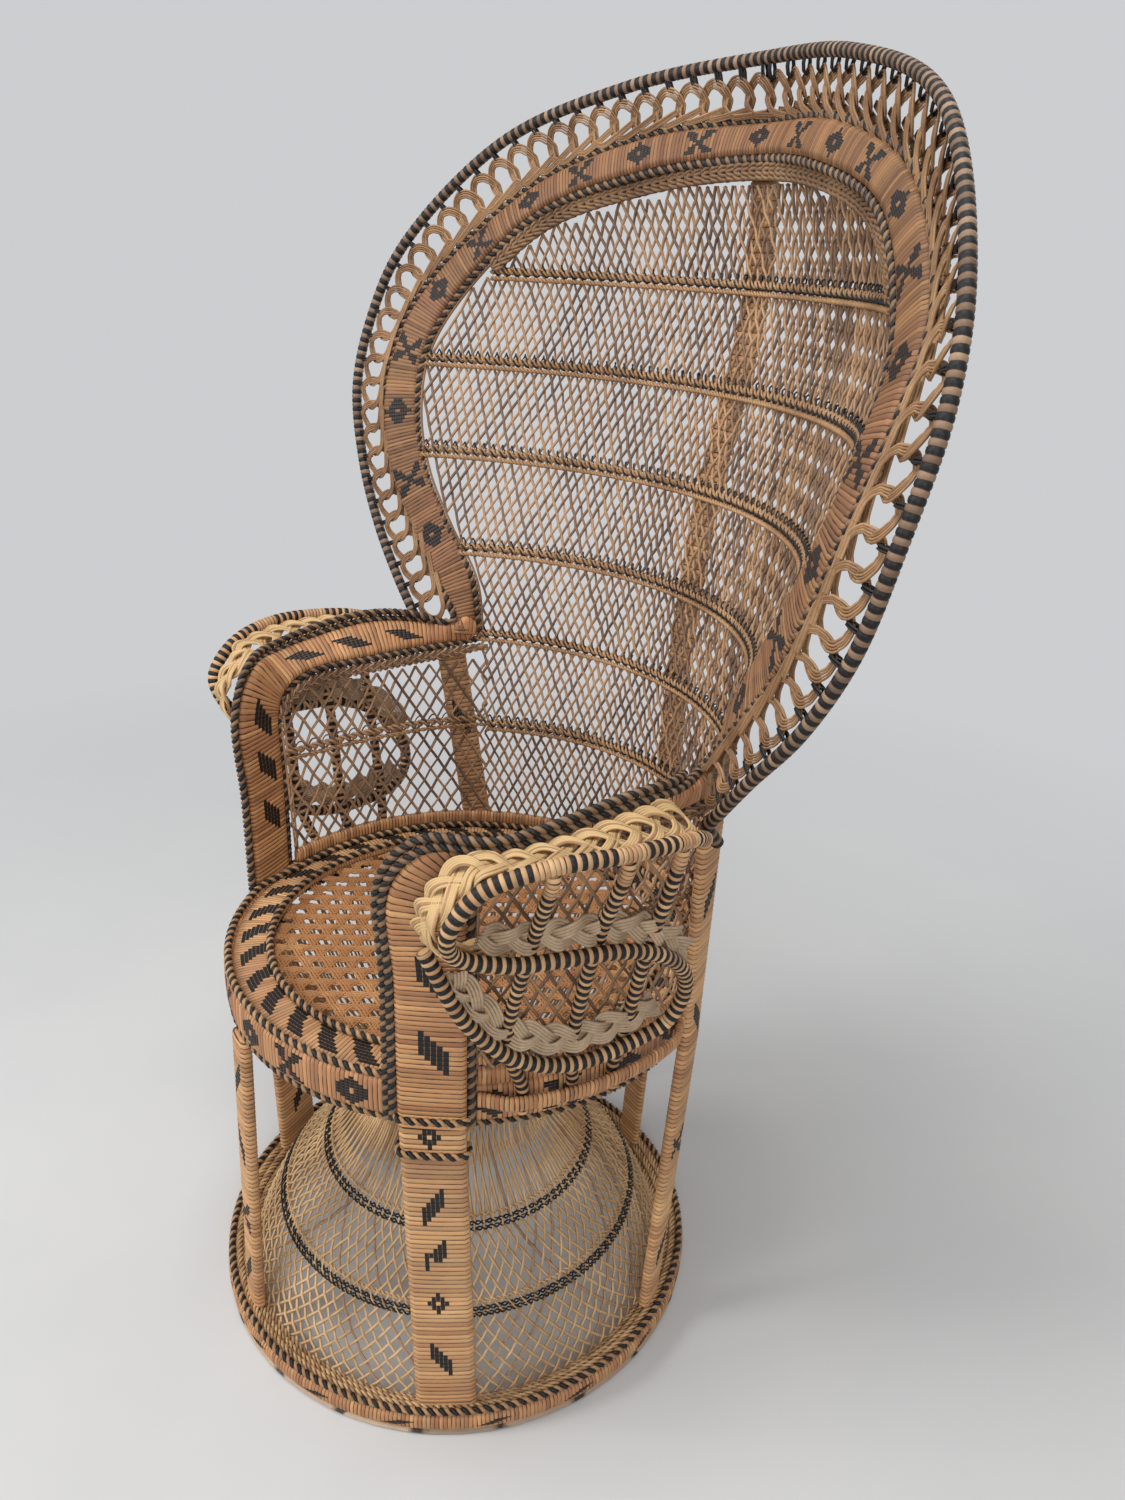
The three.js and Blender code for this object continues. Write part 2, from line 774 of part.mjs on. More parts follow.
// Twined rows lie level on the sitter's side of the canes
const rowHeight = 18;
const rowThickness = 4;
const rowGap = 0.6; // between a row and the canes behind it
const rowOffset = layerOffset + caneRadius + rowGap + rowThickness / 2;
const rowSteps = 8;
const rowShare = 0.92; // of the wall's width between the middles of its borders
rowHeights.forEach((height, i) => {
  const reach = between(borderMiddleLimits, height) * rowShare;
  const places = Array.from({ length: rowSteps + 1 }, (_, j) => reach * ((2 * j) / rowSteps - 1));
  const front = (s, z, depth) => backWall(s, z, depth - rowOffset);
  add(
    `back_row_${i + 1}`,
    wallStrip(
      front,
      places.map((s) => [s, height - rowHeight / 2]),
      places.map((s) => [s, height + rowHeight / 2]),
      rowThickness,
    ),
    finishes.dark,
  );
});

// Long slat behind the back's centre, from the base ring to the band's crown
const slatBehind = 15;
const slatLine = [
  [legCircle, footHeight],
  [seatSetBack + seatRadius + clearance + slatThickness / 2, apronLow],
  [seatSetBack + seatRadius + clearance + slatThickness / 2, seatHeight],
  ...rowHeights.map((height) => [between(centreLine, height) + slatBehind, height]),
];
const crownSection = bandSections[armSteps + backSteps / 2];
const crownBack = crownSection[0].y > crownSection[3].y ? crownSection[0] : crownSection[3];
const crownBackUp = crownSection[0].y > crownSection[3].y ? crownSection[1] : crownSection[2];
const crownMiddle = crownBack.clone().lerp(crownBackUp, 0.5);
const crownRise = crownBackUp.clone().sub(crownBack).normalize();
const crownOut = new THREE.Vector3(0, Math.abs(crownRise.z), -crownRise.y);
const slatEnd = crownMiddle.addScaledVector(crownOut, clearance + slatThickness / 2);
const slatPoints = [...slatLine.map(([y, z]) => new THREE.Vector3(0, y, z)), slatEnd];
const slatHalf = new THREE.Vector3(slatWidth / 2, 0, 0);
add(
  "back_slat",
  loft(
    board(
      slatPoints.map((point) => point.clone().sub(slatHalf)),
      slatPoints.map((point) => point.clone().add(slatHalf)),
      0,
      slatThickness,
    ),
  ),
  finishes.wrap,
);

// Wall of the right arm, by the length round the seat and the height
const armTopGap = 11.5; // from the inner braid's centre down to the wall's border
const armFrontGap = 8; // from the inner braid's centre back to the wall's border
const armWallFront = postTurn + (postWidth / 2 + bandInset + armFrontGap) / postCircle;
const armWallBack = jointTurn - borderThickness / wallRadius;
const armFootBulge = 4; // how far the wall's foot runs out towards the post
const armTopTable = armInnerPoints
  .slice(Math.floor(armSteps / 3)) // from where the line leaves the post
  .map(({ x, y, z }) => [Math.atan2(x, seatSetBack - y), Math.hypot(x, y - seatSetBack), z]);
const armTopRadius = armTopTable.map(([turn, radius]) => [turn, radius]);
const armTopHeight = armTopTable.map(([turn, , height]) => [turn, height]);
const armFootRadius = [
  [armWallFront, wallRadius + armFootBulge],
  [armWallBack, wallRadius],
];

function armWall(s, z, depth = 0) {
  const turn = s / wallRadius;
  const share = (z - seatHeight) / (between(armTopHeight, turn) - seatHeight);
  const low = between(armFootRadius, turn);
  const radius = low + share * (between(armTopRadius, turn) - low);
  return seatPlace(radius + depth, turn, z);
}

// Rear posts, from the base ring to the outer side of the arm's wall below its joint with the back
const slimCircle = seatRadius + clearance + slimThickness / 2;
const rearTopTurn = rearTurn - fullTurn / 50;
const rearTopDrop = 33; // from the inner braid at the joint down to the post's top
const rearTopGap = 9; // between the arm's wall and the post's top
const rearTopHeight = innerHalf[0].z - rearTopDrop;
const rearTopDepth = borderThickness / 2 + rearTopGap + slimThickness / 2;
const rearPlaces = [
  [basePlace(legCircle, rearTurn, footHeight), rearTurn],
  [seatPlace(slimCircle, rearTurn, apronLow), rearTurn],
  [seatPlace(slimCircle, rearTurn, seatHeight), rearTurn],
  [armWall(rearTopTurn * wallRadius, rearTopHeight, rearTopDepth), rearTopTurn],
];
addPair(
  "rear_post",
  loft(rearPlaces.map(([place, turn]) => legSection(place, turn, slimWidth, slimThickness))),
  finishes.wrap,
);

const frontReach = armWallFront * wallRadius;
const backReach = armWallBack * wallRadius;
const armWallSteps = 6;
const armTopLine = Array.from({ length: armWallSteps + 1 }, (_, i) => {
  const s = backReach + ((frontReach - backReach) * i) / armWallSteps;
  return [s, between(armTopHeight, s / wallRadius) - armTopGap];
});
const armEdge = [
  [backReach, footRailLow],
  [backReach, rowHeights[0]],
  ...armTopLine,
  [frontReach, footRailLow],
];
const armFootLine = armTopLine.map(([s]) => s);
const armInnerEdge = movedIn(armEdge, borderWidth);
const armMiddle = (frontReach + backReach) / 2;

const armTopAscending = armTopLine.slice().reverse();

function insideArm(s, z) {
  const most = between(armTopAscending, s) - borderWidth / 2;
  const half = (backReach - frontReach - borderWidth) / 2;
  return Math.abs(s - armMiddle) <= half && z <= most;
}

const armCanes = [1, -1].flatMap((way) =>
  wallCanes({
    wall: (s, z, depth) => armWall(s + armMiddle, z, depth),
    inside: (s, z) => insideArm(s + armMiddle, z),
    reach: (backReach - frontReach) / 2,
    low: footRailMiddle,
    high: armHeight - armDepth,
    breaks: [rowHeights[0]],
    pitch: armCanePitch,
    way,
  }),
);
addPair(
  "arm_lattice",
  joined([
    wallStrip(armWall, armEdge, armInnerEdge, borderThickness),
    wallStrip(
      armWall,
      armFootLine.map((s) => [s, footRailLow]),
      armFootLine.map((s) => [s, footRailLow + footRailHeight]),
      footRailThickness,
    ),
    ...armCanes,
  ]),
  finishes.cane,
);
const armRowShare = 1 - (2 * (borderWidth + clearance)) / (backReach - frontReach);
const armRowLine = armFootLine.map((s) => armMiddle + (s - armMiddle) * armRowShare);
addPair(
  "arm_row",
  wallStrip(
    (s, z, depth) => armWall(s, z, depth - rowOffset),
    armRowLine.map((s) => [s, rowHeights[0] - rowHeight / 2]),
    armRowLine.map((s) => [s, rowHeights[0] + rowHeight / 2]),
    rowThickness,
  ),
  finishes.dark,
);

// A place along a line of points, by its share of their count
function pointAlong(points, share) {
  const position = share * (points.length - 1);
  const i = Math.min(Math.floor(position), points.length - 2);
  return points[i].clone().lerp(points[i + 1], position - i);
}

// Outer hoop: abreast of the outer braid, with its two ends turned down beside the rear posts
const hoopSteps = 40;
const hoopPoints = abreast(wholeOutline(hoopHalf.slice(1)), hoopSteps);
const hoopEnd = hoopHalf[0];
const hoopOutward = hoopPoints.map((point, i) => {
  return point.clone().sub(pointAlong(backOuterPoints, i / hoopSteps)).normalize();
});
add(
  "hoop",
  stick(
    [...mirrored([hoopEnd]), ...hoopPoints, hoopEnd],
    [hoopOutward[0], ...hoopOutward, hoopOutward[hoopSteps]],
    poleRadius,
    poleSides,
  ),
  finishes.stripe,
);

// Chain of linked rings between the outer braid and the hoop, on a thin rail beside the braid
const ringPitch = 43;
const ringWidth = 60;
const ringCane = 5;
const ringCaneThickness = 2.4;
const ringBend = 3; // rings bend one way and the other by turns, so that they link
const ringSteps = 8;
const chainRailWidth = 6;
const chainRailThickness = 3;
const chainRailGap = 1.1; // between the rail and the outer braid, which bends beside it
const railReach = braidRadius + chainRailGap + chainRailThickness / 2;
const ringSink = 1; // how far a ring's end is let into the rail
const ringRailReach = chainRailThickness / 2 - ringSink;
const ringHoopGap = 2.2; // between a ring's end and the hoop, which bends beside it
const ringHoopReach = poleRadius + ringHoopGap;
const railSections = [];
const railMiddles = backOuterPoints.map((point, i) => {
  const towards = pointAlong(hoopPoints, i / backSteps).sub(point).normalize();
  const face = towards.clone().cross(directionAt(backOuterPoints, i)).normalize();
  const middle = point.clone().addScaledVector(towards, railReach);
  const half = face.clone().multiplyScalar(chainRailWidth / 2);
  const section = slab(middle.clone().sub(half), middle.clone().add(half), towards, chainRailThickness);
  railSections.push(section);
  return middle;
});
const chainSamples = 160;
const chainMiddles = Array.from({ length: chainSamples + 1 }, (_, i) => {
  const share = i / chainSamples;
  return pointAlong(railMiddles, share).lerp(pointAlong(hoopPoints, share), 0.5);
});
const chainShares = [[0, 0]];
chainMiddles.slice(1).forEach((point, i) => {
  chainShares.push([chainShares[i][0] + point.distanceTo(chainMiddles[i]), (i + 1) / chainSamples]);
});
const chainLength = chainShares[chainSamples][0];
const ringCount = Math.round(chainLength / ringPitch);

// Bends a flat ring into a shallow wave across the chain, with its two ends left in the plane
function bendRing(position, reach, rise) {
  for (let i = 0; i < position.count; i += 1) {
    const wave = Math.sin((quarterTurn * 2 * position.getX(i)) / reach);
    position.setZ(i, position.getZ(i) + rise * wave);
  }
}

function chainRing(i) {
  const share = between(chainShares, ((i + 0.5) * chainLength) / ringCount);
  const inner = pointAlong(railMiddles, share);
  const across = pointAlong(hoopPoints, share).sub(inner);
  const reach = across.length() - ringRailReach;
  across.normalize();
  const room = reach - squareInset(hoopPoints, Math.round(share * hoopSteps), across, ringHoopReach);
  const along = directionAt(chainMiddles, Math.round(share * chainSamples));
  along.addScaledVector(across, -along.dot(across)).normalize();
  const face = across.clone().cross(along);
  const link = new THREE.TorusGeometry((ringWidth - ringCane) / 2, ringCane / 2, caneSides, ringSteps);
  link.scale(room / ringWidth, 1, ringCaneThickness / ringCane);
  bendRing(link.getAttribute("position"), room / 2, i % 2 === 0 ? ringBend : -ringBend);
  const centre = inner.addScaledVector(across, ringRailReach + room / 2);
  return link.applyMatrix4(new THREE.Matrix4().makeBasis(across, along, face).setPosition(centre));
}

const railEnd = 1; // steps of the back's outline that the rail leaves free at each arm
add(
  "ring_chain",
  joined([
    loft(railSections.slice(railEnd, backSteps + 1 - railEnd)),
    ...Array.from({ length: ringCount - 2 }, (_, i) => chainRing(i + 1)),
  ]),
  finishes.pale,
);

// Scroll of each arm: one striped rail from the hoop round the front, back and down, and a lower
// rail forward to the post, as places beside the seat
const scrollShares = [
  [0.1606, 0.267, 0.948],
  [0.3599, 0.128, 0.99],
  [0.4138, -0.085, 1.004],
  [0.3552, -0.28, 1.003],
  [0.2661, -0.426, 0.979],
  [0.2239, -0.494, 0.933],
  [0.1559, -0.455, 0.885],
  [0.1981, -0.327, 0.862],
  [0.2567, -0.17, 0.857],
  [0.2872, -0.028, 0.85],
  [0.2825, 0.1, 0.824],
  [0.238, 0.2, 0.775],
  [0.1981, 0.222, 0.729],
  [0.17, 0.188, 0.692],
];
const lowerRailShares = [
  [0.1419, 0.1, 0.672],
  [0.1114, -0.1, 0.664],
  [0.0551, -0.256, 0.69],
  [-0.0246, -0.375, 0.75],
  [-0.1207, -0.464, 0.85],
];
const railPerSpan = 2; // steps of a rail between two of its points
const frontIndex = 5; // the scroll's foremost point
const scrollPlaces = armPlaces([...scrollShares, ...lowerRailShares]);
const railPointsOfScroll = abreast(scrollPlaces, (scrollPlaces.length - 1) * railPerSpan);
const scrollEnd = (scrollShares.length - 1) * railPerSpan;
const railOutward = railPointsOfScroll.map((point) => seatOutward(point));
const scrollSections = stickSections(railPointsOfScroll, railOutward, poleRadius, poleSides);

// Where a line of points first reaches a depth
function atDepth(points, y) {
  for (let i = 1; i < points.length; i += 1) {
    const [a, b] = [points[i - 1], points[i]];
    if ((a.y - y) * (b.y - y) <= 0) {
      return a.clone().lerp(b, (y - a.y) / (b.y - a.y));
    }
  }
  return points[0].clone();
}

// Spokes hang from the outer rail behind the middle and lower rails, down to the apron
const spokeRadius = 6;
const spokeDepthShares = [-0.27, -0.085, 0.085];
const spokeSide = 2 * poleRadius + clearance;
const upperStretch = railPointsOfScroll.slice(0, frontIndex * railPerSpan);
const middleStretch = railPointsOfScroll.slice((frontIndex + 1) * railPerSpan, scrollEnd);
const lowerStretch = railPointsOfScroll.slice(scrollEnd);
const spokeFoot = apronLow + spokeRadius * 2;

function spokeLine(share) {
  const y = share * crownDepth;
  const top = atDepth(upperStretch, y);
  const end = top.clone().setZ(top.z - poleRadius - clearance);
  const places = [end, end.clone().setZ(end.z - spokeRadius)];
  for (const stretch of [middleStretch, lowerStretch]) {
    const rail = atDepth(stretch, y);
    places.push(rail.addScaledVector(seatOutward(rail), -spokeSide));
  }
  const turn = Math.atan2(top.x, seatSetBack - y);
  const footCircle = flatRadius(seatRadius, turn) + spokeRadius + clearance;
  places.push(seatPlace(footCircle, turn, seatHeight), seatPlace(footCircle, turn, spokeFoot));
  return places;
}

// Plait between the arm's outer braid and the scroll's outer rail: a strip that runs to and fro
const plaitWidth = 11;
const plaitThickness = 4;
const plaitTurns = 12;
const plaitFrontShare = -0.36;
const plaitBackShare = 0.15;
const plaitGap = 0.4; // between the plait's turns and the pieces that they lie against
const plaitBraidSide = braidRadius + plaitWidth / 2 + plaitGap;
const plaitRailSide = poleRadius + plaitWidth / 2 + plaitGap;

function plaitSections() {
  const points = Array.from({ length: plaitTurns + 1 }, (_, i) => {
    const share = plaitFrontShare + ((plaitBackShare - plaitFrontShare) * i) / plaitTurns;
    const braid = atDepth([...armOuterPoints].reverse(), share * crownDepth);
    const rail = atDepth(upperStretch, share * crownDepth);
    const across = rail.clone().sub(braid).normalize();
    return i % 2 === 0
      ? braid.addScaledVector(across, plaitBraidSide)
      : rail.addScaledVector(across, -plaitRailSide);
  });
  return points.map((point, i) => {
    const along = directionAt(points, i);
    const side = new THREE.Vector3(0, 0, 1).cross(along).normalize();
    const face = along.clone().cross(side);
    const half = side.multiplyScalar(plaitWidth / 2);
    return slab(point.clone().sub(half), point.clone().add(half), face, plaitThickness);
  });
}

addPair("scroll_rail", loft(scrollSections.slice(0, scrollEnd + 1)), finishes.stripe);
const lowerSections = pullBack(scrollSections.slice(scrollEnd), false, clearance);
addPair("lower_rail", loft(lowerSections), finishes.stripe);
addPair("arm_plait", loft(plaitSections()), finishes.pale);
spokeDepthShares.forEach((share, i) => {
  const line = spokeLine(share);
  const spoke = stick(line, line.map(seatOutward), spokeRadius, poleSides);
  addPair("arm_spoke", spoke, finishes.stripe, `_${i + 1}`);
});

// The seat's outer braid lies at the rim's edge in front and inside the foot rails behind
const seatEdgeSteps = 36;
const seatEdgeFront = seatRadius - braidRadius;
const seatEdgeBack = wallRadius - borderThickness - braidRadius;
const seatEdgeTurnShares = [0.72, 0.95]; // of the arm wall's front, where the braid draws in
const [drawsIn, isIn] = seatEdgeTurnShares.map((share) => share * armWallFront);
const seatEdgeTable = [
  [0, seatEdgeFront],
  [drawsIn, seatEdgeFront],
  [isIn, seatEdgeBack],
  [fullTurn / 2, seatEdgeBack],
];
const seatEdgePoints = Array.from({ length: seatEdgeSteps }, (_, i) => {
  const turn = (i / seatEdgeSteps) * fullTurn;
  const radius = between(seatEdgeTable, Math.min(turn, fullTurn - turn));
  return seatPlace(radius, turn, seatHeight + braidRadius + clearance);
});
add(
  "seat_edge_braid",
  stick(seatEdgePoints, seatEdgePoints.map(seatOutward), braidRadius, braidSides, true),
  finishes.braid,
);

// The origin is on the floor under the middle of the whole chair
const bounds = new THREE.Box3().setFromObject(chair);
chair.position.y = -(bounds.min.y + bounds.max.y) / 2;

export default chair;
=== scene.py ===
"""Looks of a woven peacock chair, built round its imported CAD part.

Sizes are in metres. Lines are worked out in the frame of the base ring, whose axis is x = y = 0,
and every piece is moved to the part's own frame when it is finished.
"""

import json
import logging
import math
from collections.abc import Callable, Sequence
from dataclasses import dataclass, field, replace
from enum import Enum

import bmesh
import bpy
import numpy as np
from mathutils import Matrix, Vector

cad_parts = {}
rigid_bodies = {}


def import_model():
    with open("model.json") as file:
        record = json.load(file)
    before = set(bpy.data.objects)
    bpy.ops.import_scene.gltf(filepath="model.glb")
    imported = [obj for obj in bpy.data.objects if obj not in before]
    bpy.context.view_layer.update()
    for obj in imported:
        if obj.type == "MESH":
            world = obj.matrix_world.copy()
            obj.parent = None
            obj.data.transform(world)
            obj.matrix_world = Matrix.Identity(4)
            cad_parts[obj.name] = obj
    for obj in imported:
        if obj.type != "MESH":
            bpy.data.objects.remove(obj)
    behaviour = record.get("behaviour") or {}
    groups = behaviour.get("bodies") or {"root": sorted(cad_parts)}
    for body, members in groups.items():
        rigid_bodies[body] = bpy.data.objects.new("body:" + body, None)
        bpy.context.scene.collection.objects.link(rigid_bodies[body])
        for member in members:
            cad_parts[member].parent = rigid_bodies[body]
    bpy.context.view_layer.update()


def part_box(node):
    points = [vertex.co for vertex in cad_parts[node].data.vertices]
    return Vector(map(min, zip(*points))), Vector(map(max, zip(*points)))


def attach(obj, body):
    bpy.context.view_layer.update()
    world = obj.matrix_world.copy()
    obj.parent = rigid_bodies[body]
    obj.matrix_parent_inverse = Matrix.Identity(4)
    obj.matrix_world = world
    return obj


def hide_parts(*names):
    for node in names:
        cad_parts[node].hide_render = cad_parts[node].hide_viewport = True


LOG = logging.getLogger("peacock_chair")
FULL_TURN = 2 * math.pi
BODY = "root"
SEED = 7
UP = np.array([0.0, 0.0, 1.0])
SEAM = 0.0003  # the clear space left between pieces that stand on each other
Colour = tuple[float, float, float]
Array = np.ndarray
Line = np.ndarray
Wall = Callable[[Array, Array, Array], Array]
Socket = bpy.types.NodeSocket
Value = Socket | float | tuple
Amount = float | Array


class Slot(Enum):
    """The record's material slots."""

    WRAP = "wrapped_cane"
    CANE = "lattice_cane"
    BRAID = "braid_cane"
    POLE = "striped_pole"
    TWINE = "dark_twine"
    PALE = "pale_cane"
    SEAT = "seat_cane"


# Lines


def smooth_line(points: Sequence, steps: int) -> Line:
    """Points at equal parameter steps on a centripetal curve through a few given points.

    Args:
        points: the given points, two or more.
        steps: how many steps to make of the whole curve.

    Returns:
        The steps + 1 points.
    """
    given = np.asarray(points, float)
    last = len(given) - 1
    ends = np.vstack([2 * given[0] - given[1], given, 2 * given[-1] - given[-2]])
    made = []
    for place in np.linspace(0, last, steps + 1):
        i = min(int(place), last - 1)
        w = place - i
        a, b, c, d = ends[i : i + 4]
        d0, d1, d2 = (np.sum((v - u) ** 2) ** 0.25 for u, v in ((a, b), (b, c), (c, d)))
        t1 = ((b - a) / d0 - (c - a) / (d0 + d1) + (c - b) / d1) * d1
        t2 = ((c - b) / d1 - (d - b) / (d1 + d2) + (d - c) / d2) * d1
        bend = (-3 * b + 3 * c - 2 * t1 - t2) * w**2 + (2 * b - 2 * c + t1 + t2) * w**3
        made.append(b + t1 * w + bend)
    return np.array(made)


def lengths_along(points: Line) -> Array:
    """The length along a line of points up to each of them."""
    steps = np.linalg.norm(np.diff(points, axis=0), axis=1)
    return np.concatenate([[0.0], np.cumsum(steps)])


def at_lengths(points: Line, lengths: Array, whole: Array | None = None) -> Line:
    """Places on a line at lengths along it, or along whole, which gives its points' lengths."""
    own = lengths_along(points) if whole is None else whole
    return np.column_stack([np.interp(lengths, own, points[:, k]) for k in range(points.shape[1])])


def softened(points: Line, corner: int, reach: float) -> Line:
    """A line with one of its corners rounded off.

    Args:
        points: the line's points.
        corner: the corner's index.
        reach: how far the rounding reaches to each side, as a spread.

    Returns:
        As many points, moved near the corner only.
    """
    own = lengths_along(points)
    spreads, samples, fade = 2.5, 21, 3.5
    steps = np.linspace(-spreads, spreads, samples) * reach
    weights = np.exp(-0.5 * (steps / reach) ** 2)
    weights /= weights.sum()
    places = np.clip(own[:, None] + steps, 0, own[-1])
    even = sum(w * at_lengths(points, places[:, i], own) for i, w in enumerate(weights))
    share = np.exp(-(((own - own[corner]) / (fade * reach)) ** 4))
    return points + share[:, None] * (even - points)


def closed_up(points: Line, closed: bool = True) -> Line:
    """A line with its first point again at its end, if it is a ring."""
    return np.vstack([points, points[:1]]) if closed else points


def round_turns(count: int) -> Array:
    """Turns evenly round a circle, from 0."""
    return np.linspace(0, FULL_TURN, count, endpoint=False)


def unit(vectors: Array) -> Array:
    """Vectors made one long."""
    return vectors / np.maximum(np.linalg.norm(vectors, axis=-1, keepdims=True), 1e-9)


def directions(points: Line, closed: bool = False) -> Array:
    """The direction of a line at each of its points.

    Args:
        points: the line.
        closed: whether it is a ring.

    Returns:
        One unit vector for each point.
    """
    if closed:
        return unit(np.roll(points, -1, axis=0) - np.roll(points, 1, axis=0))
    return unit(np.gradient(points, axis=0))


def mirrored(points: Array) -> Array:
    """Points mirrored to the chair's other side."""
    return points * np.array([-1.0, 1.0, 1.0])


def whole_outline(half: Line) -> Line:
    """A half outline from its foot to the crown, made whole from the left foot to the right."""
    return np.vstack([mirrored(half), half[:-1][::-1]])


def ring_line(radius: float, height: float, centre_y: float = 0.0, count: int = 240) -> Line:
    """A level circle round x = 0 and centre_y, from the front towards +X."""
    turn = round_turns(count)
    return np.column_stack(
        [radius * np.sin(turn), centre_y - radius * np.cos(turn), np.full(count, height)]
    )


# Finishes


class Nodes:
    """Short hand for the nodes of a material or of the world."""

    def __init__(self, owner: bpy.types.Material | bpy.types.World, shader: str) -> None:
        """Starts with the owner's own shader.

        Args:
            owner: the material or the world.
            shader: the shader's name.
        """
        owner.use_nodes = True
        self.tree = owner.node_tree
        self.shader = self.tree.nodes[shader]

    def add(self, kind: str, inputs: dict, **values: str) -> bpy.types.Node:
        """Adds a node.

        Args:
            kind: the node's type.
            inputs: what goes into its inputs, by their names or numbers.
            values: its own properties, by name.

        Returns:
            The node.
        """
        node = self.tree.nodes.new(kind)
        for key, value in values.items():
            setattr(node, key, value)
        for key, value in inputs.items():
            self.join(value, node.inputs[key])
        return node

    def join(self, source: Value, target: Socket) -> None:
        """Links an output to an input, or sets the input to a plain value or a colour.

        Args:
            source: the output, value or colour.
            target: the input.
        """
        if isinstance(source, tuple):
            target.default_value = (*source, 1.0)
        elif isinstance(source, (int, float)):
            target.default_value = source
        else:
            self.tree.links.new(source, target)

    def sum(self, operation: str, *values: Value) -> Socket:
        """The result of a Math node."""
        return self.add("ShaderNodeMath", dict(enumerate(values)), operation=operation).outputs[0]

    def noise(self, place: Socket, scale: float, detail: float) -> Socket:
        """The value of a Noise Texture at a place."""
        inputs = {"Vector": place, "Scale": scale, "Detail": detail}
        return self.add("ShaderNodeTexNoise", inputs).outputs["Fac"]

    def chance(self, seed: Socket) -> Socket:
        """A number of its own for each seed, from 0 to 1."""
        node = self.add("ShaderNodeTexWhiteNoise", {"W": seed}, noise_dimensions="1D")
        return node.outputs["Value"]

    def ramp(self, value: Value, stops: Sequence[tuple[float, Colour]]) -> Socket:
        """Adds a colour ramp.

        Args:
            value: what picks the place on the ramp.
            stops: the ramp's positions and their colours.

        Returns:
            The colour.
        """
        node = self.add("ShaderNodeValToRGB", {0: value})
        while len(node.color_ramp.elements) < len(stops):
            node.color_ramp.elements.new(0.5)
        for element, (position, colour) in zip(node.color_ramp.elements, stops):
            element.position = position
            element.color = (*colour, 1)
        return node.outputs[0]

    def mix(self, share: Value, first: Value, second: Value, blend: str = "MIX") -> Socket:
        """Two colours mixed, by the share of the second."""
        inputs = {"Factor": share, 6: first, 7: second}
        return self.add("ShaderNodeMix", inputs, data_type="RGBA", blend_type=blend).outputs[2]

    def attribute(self, name: str) -> Socket:
        """A value kept on the piece's faces."""
        return self.add("ShaderNodeAttribute", {}, attribute_name=name).outputs["Fac"]

    def objects(self) -> Socket:
        """Object coordinates."""
        return self.add("ShaderNodeTexCoord", {}).outputs["Object"]

    def along_and_across(self) -> Sequence[Socket]:
        """The two values of the piece's own UV map."""
        places = self.add("ShaderNodeUVMap", {}, uv_map="UVMap").outputs[0]
        return self.add("ShaderNodeSeparateXYZ", {0: places}).outputs[:2]

    def place(self, x: Value, y: Value, z: Value) -> Socket:
        """A vector out of three values."""
        return self.add("ShaderNodeCombineXYZ", {0: x, 1: y, 2: z}).outputs[0]

    def bump(self, height: Socket, distance: float, strength: float) -> None:
        """Joins a height to the shader's normal."""
        inputs = {"Height": height, "Distance": distance, "Strength": strength}
        self.join(self.add("ShaderNodeBump", inputs).outputs[0], self.shader.inputs["Normal"])

    def finish(self, colour: Value, roughness: Value) -> None:
        """Joins colour and roughness to the shader."""
        self.join(colour, self.shader.inputs["Base Color"])
        self.join(roughness, self.shader.inputs["Roughness"])


@dataclass(frozen=True)
class Finish:
    """A finish, with its name and how glossy it is."""

    name: str
    gloss: float = field(default=0.3, kw_only=True)

    def dress(self, n: Nodes) -> None:
        """Joins the finish's nodes; each kind of finish has its own way."""
        raise NotImplementedError

    def material(self) -> bpy.types.Material:
        """Makes the finish's material, or finds it.

        Returns:
            The material.
        """
        made = bpy.data.materials.get(self.name)
        if made is None:
            made = bpy.data.materials.new(self.name)
            nodes = Nodes(made, "Principled BSDF")
            nodes.shader.inputs["Specular IOR Level"].default_value = self.gloss
            self.dress(nodes)
        return made


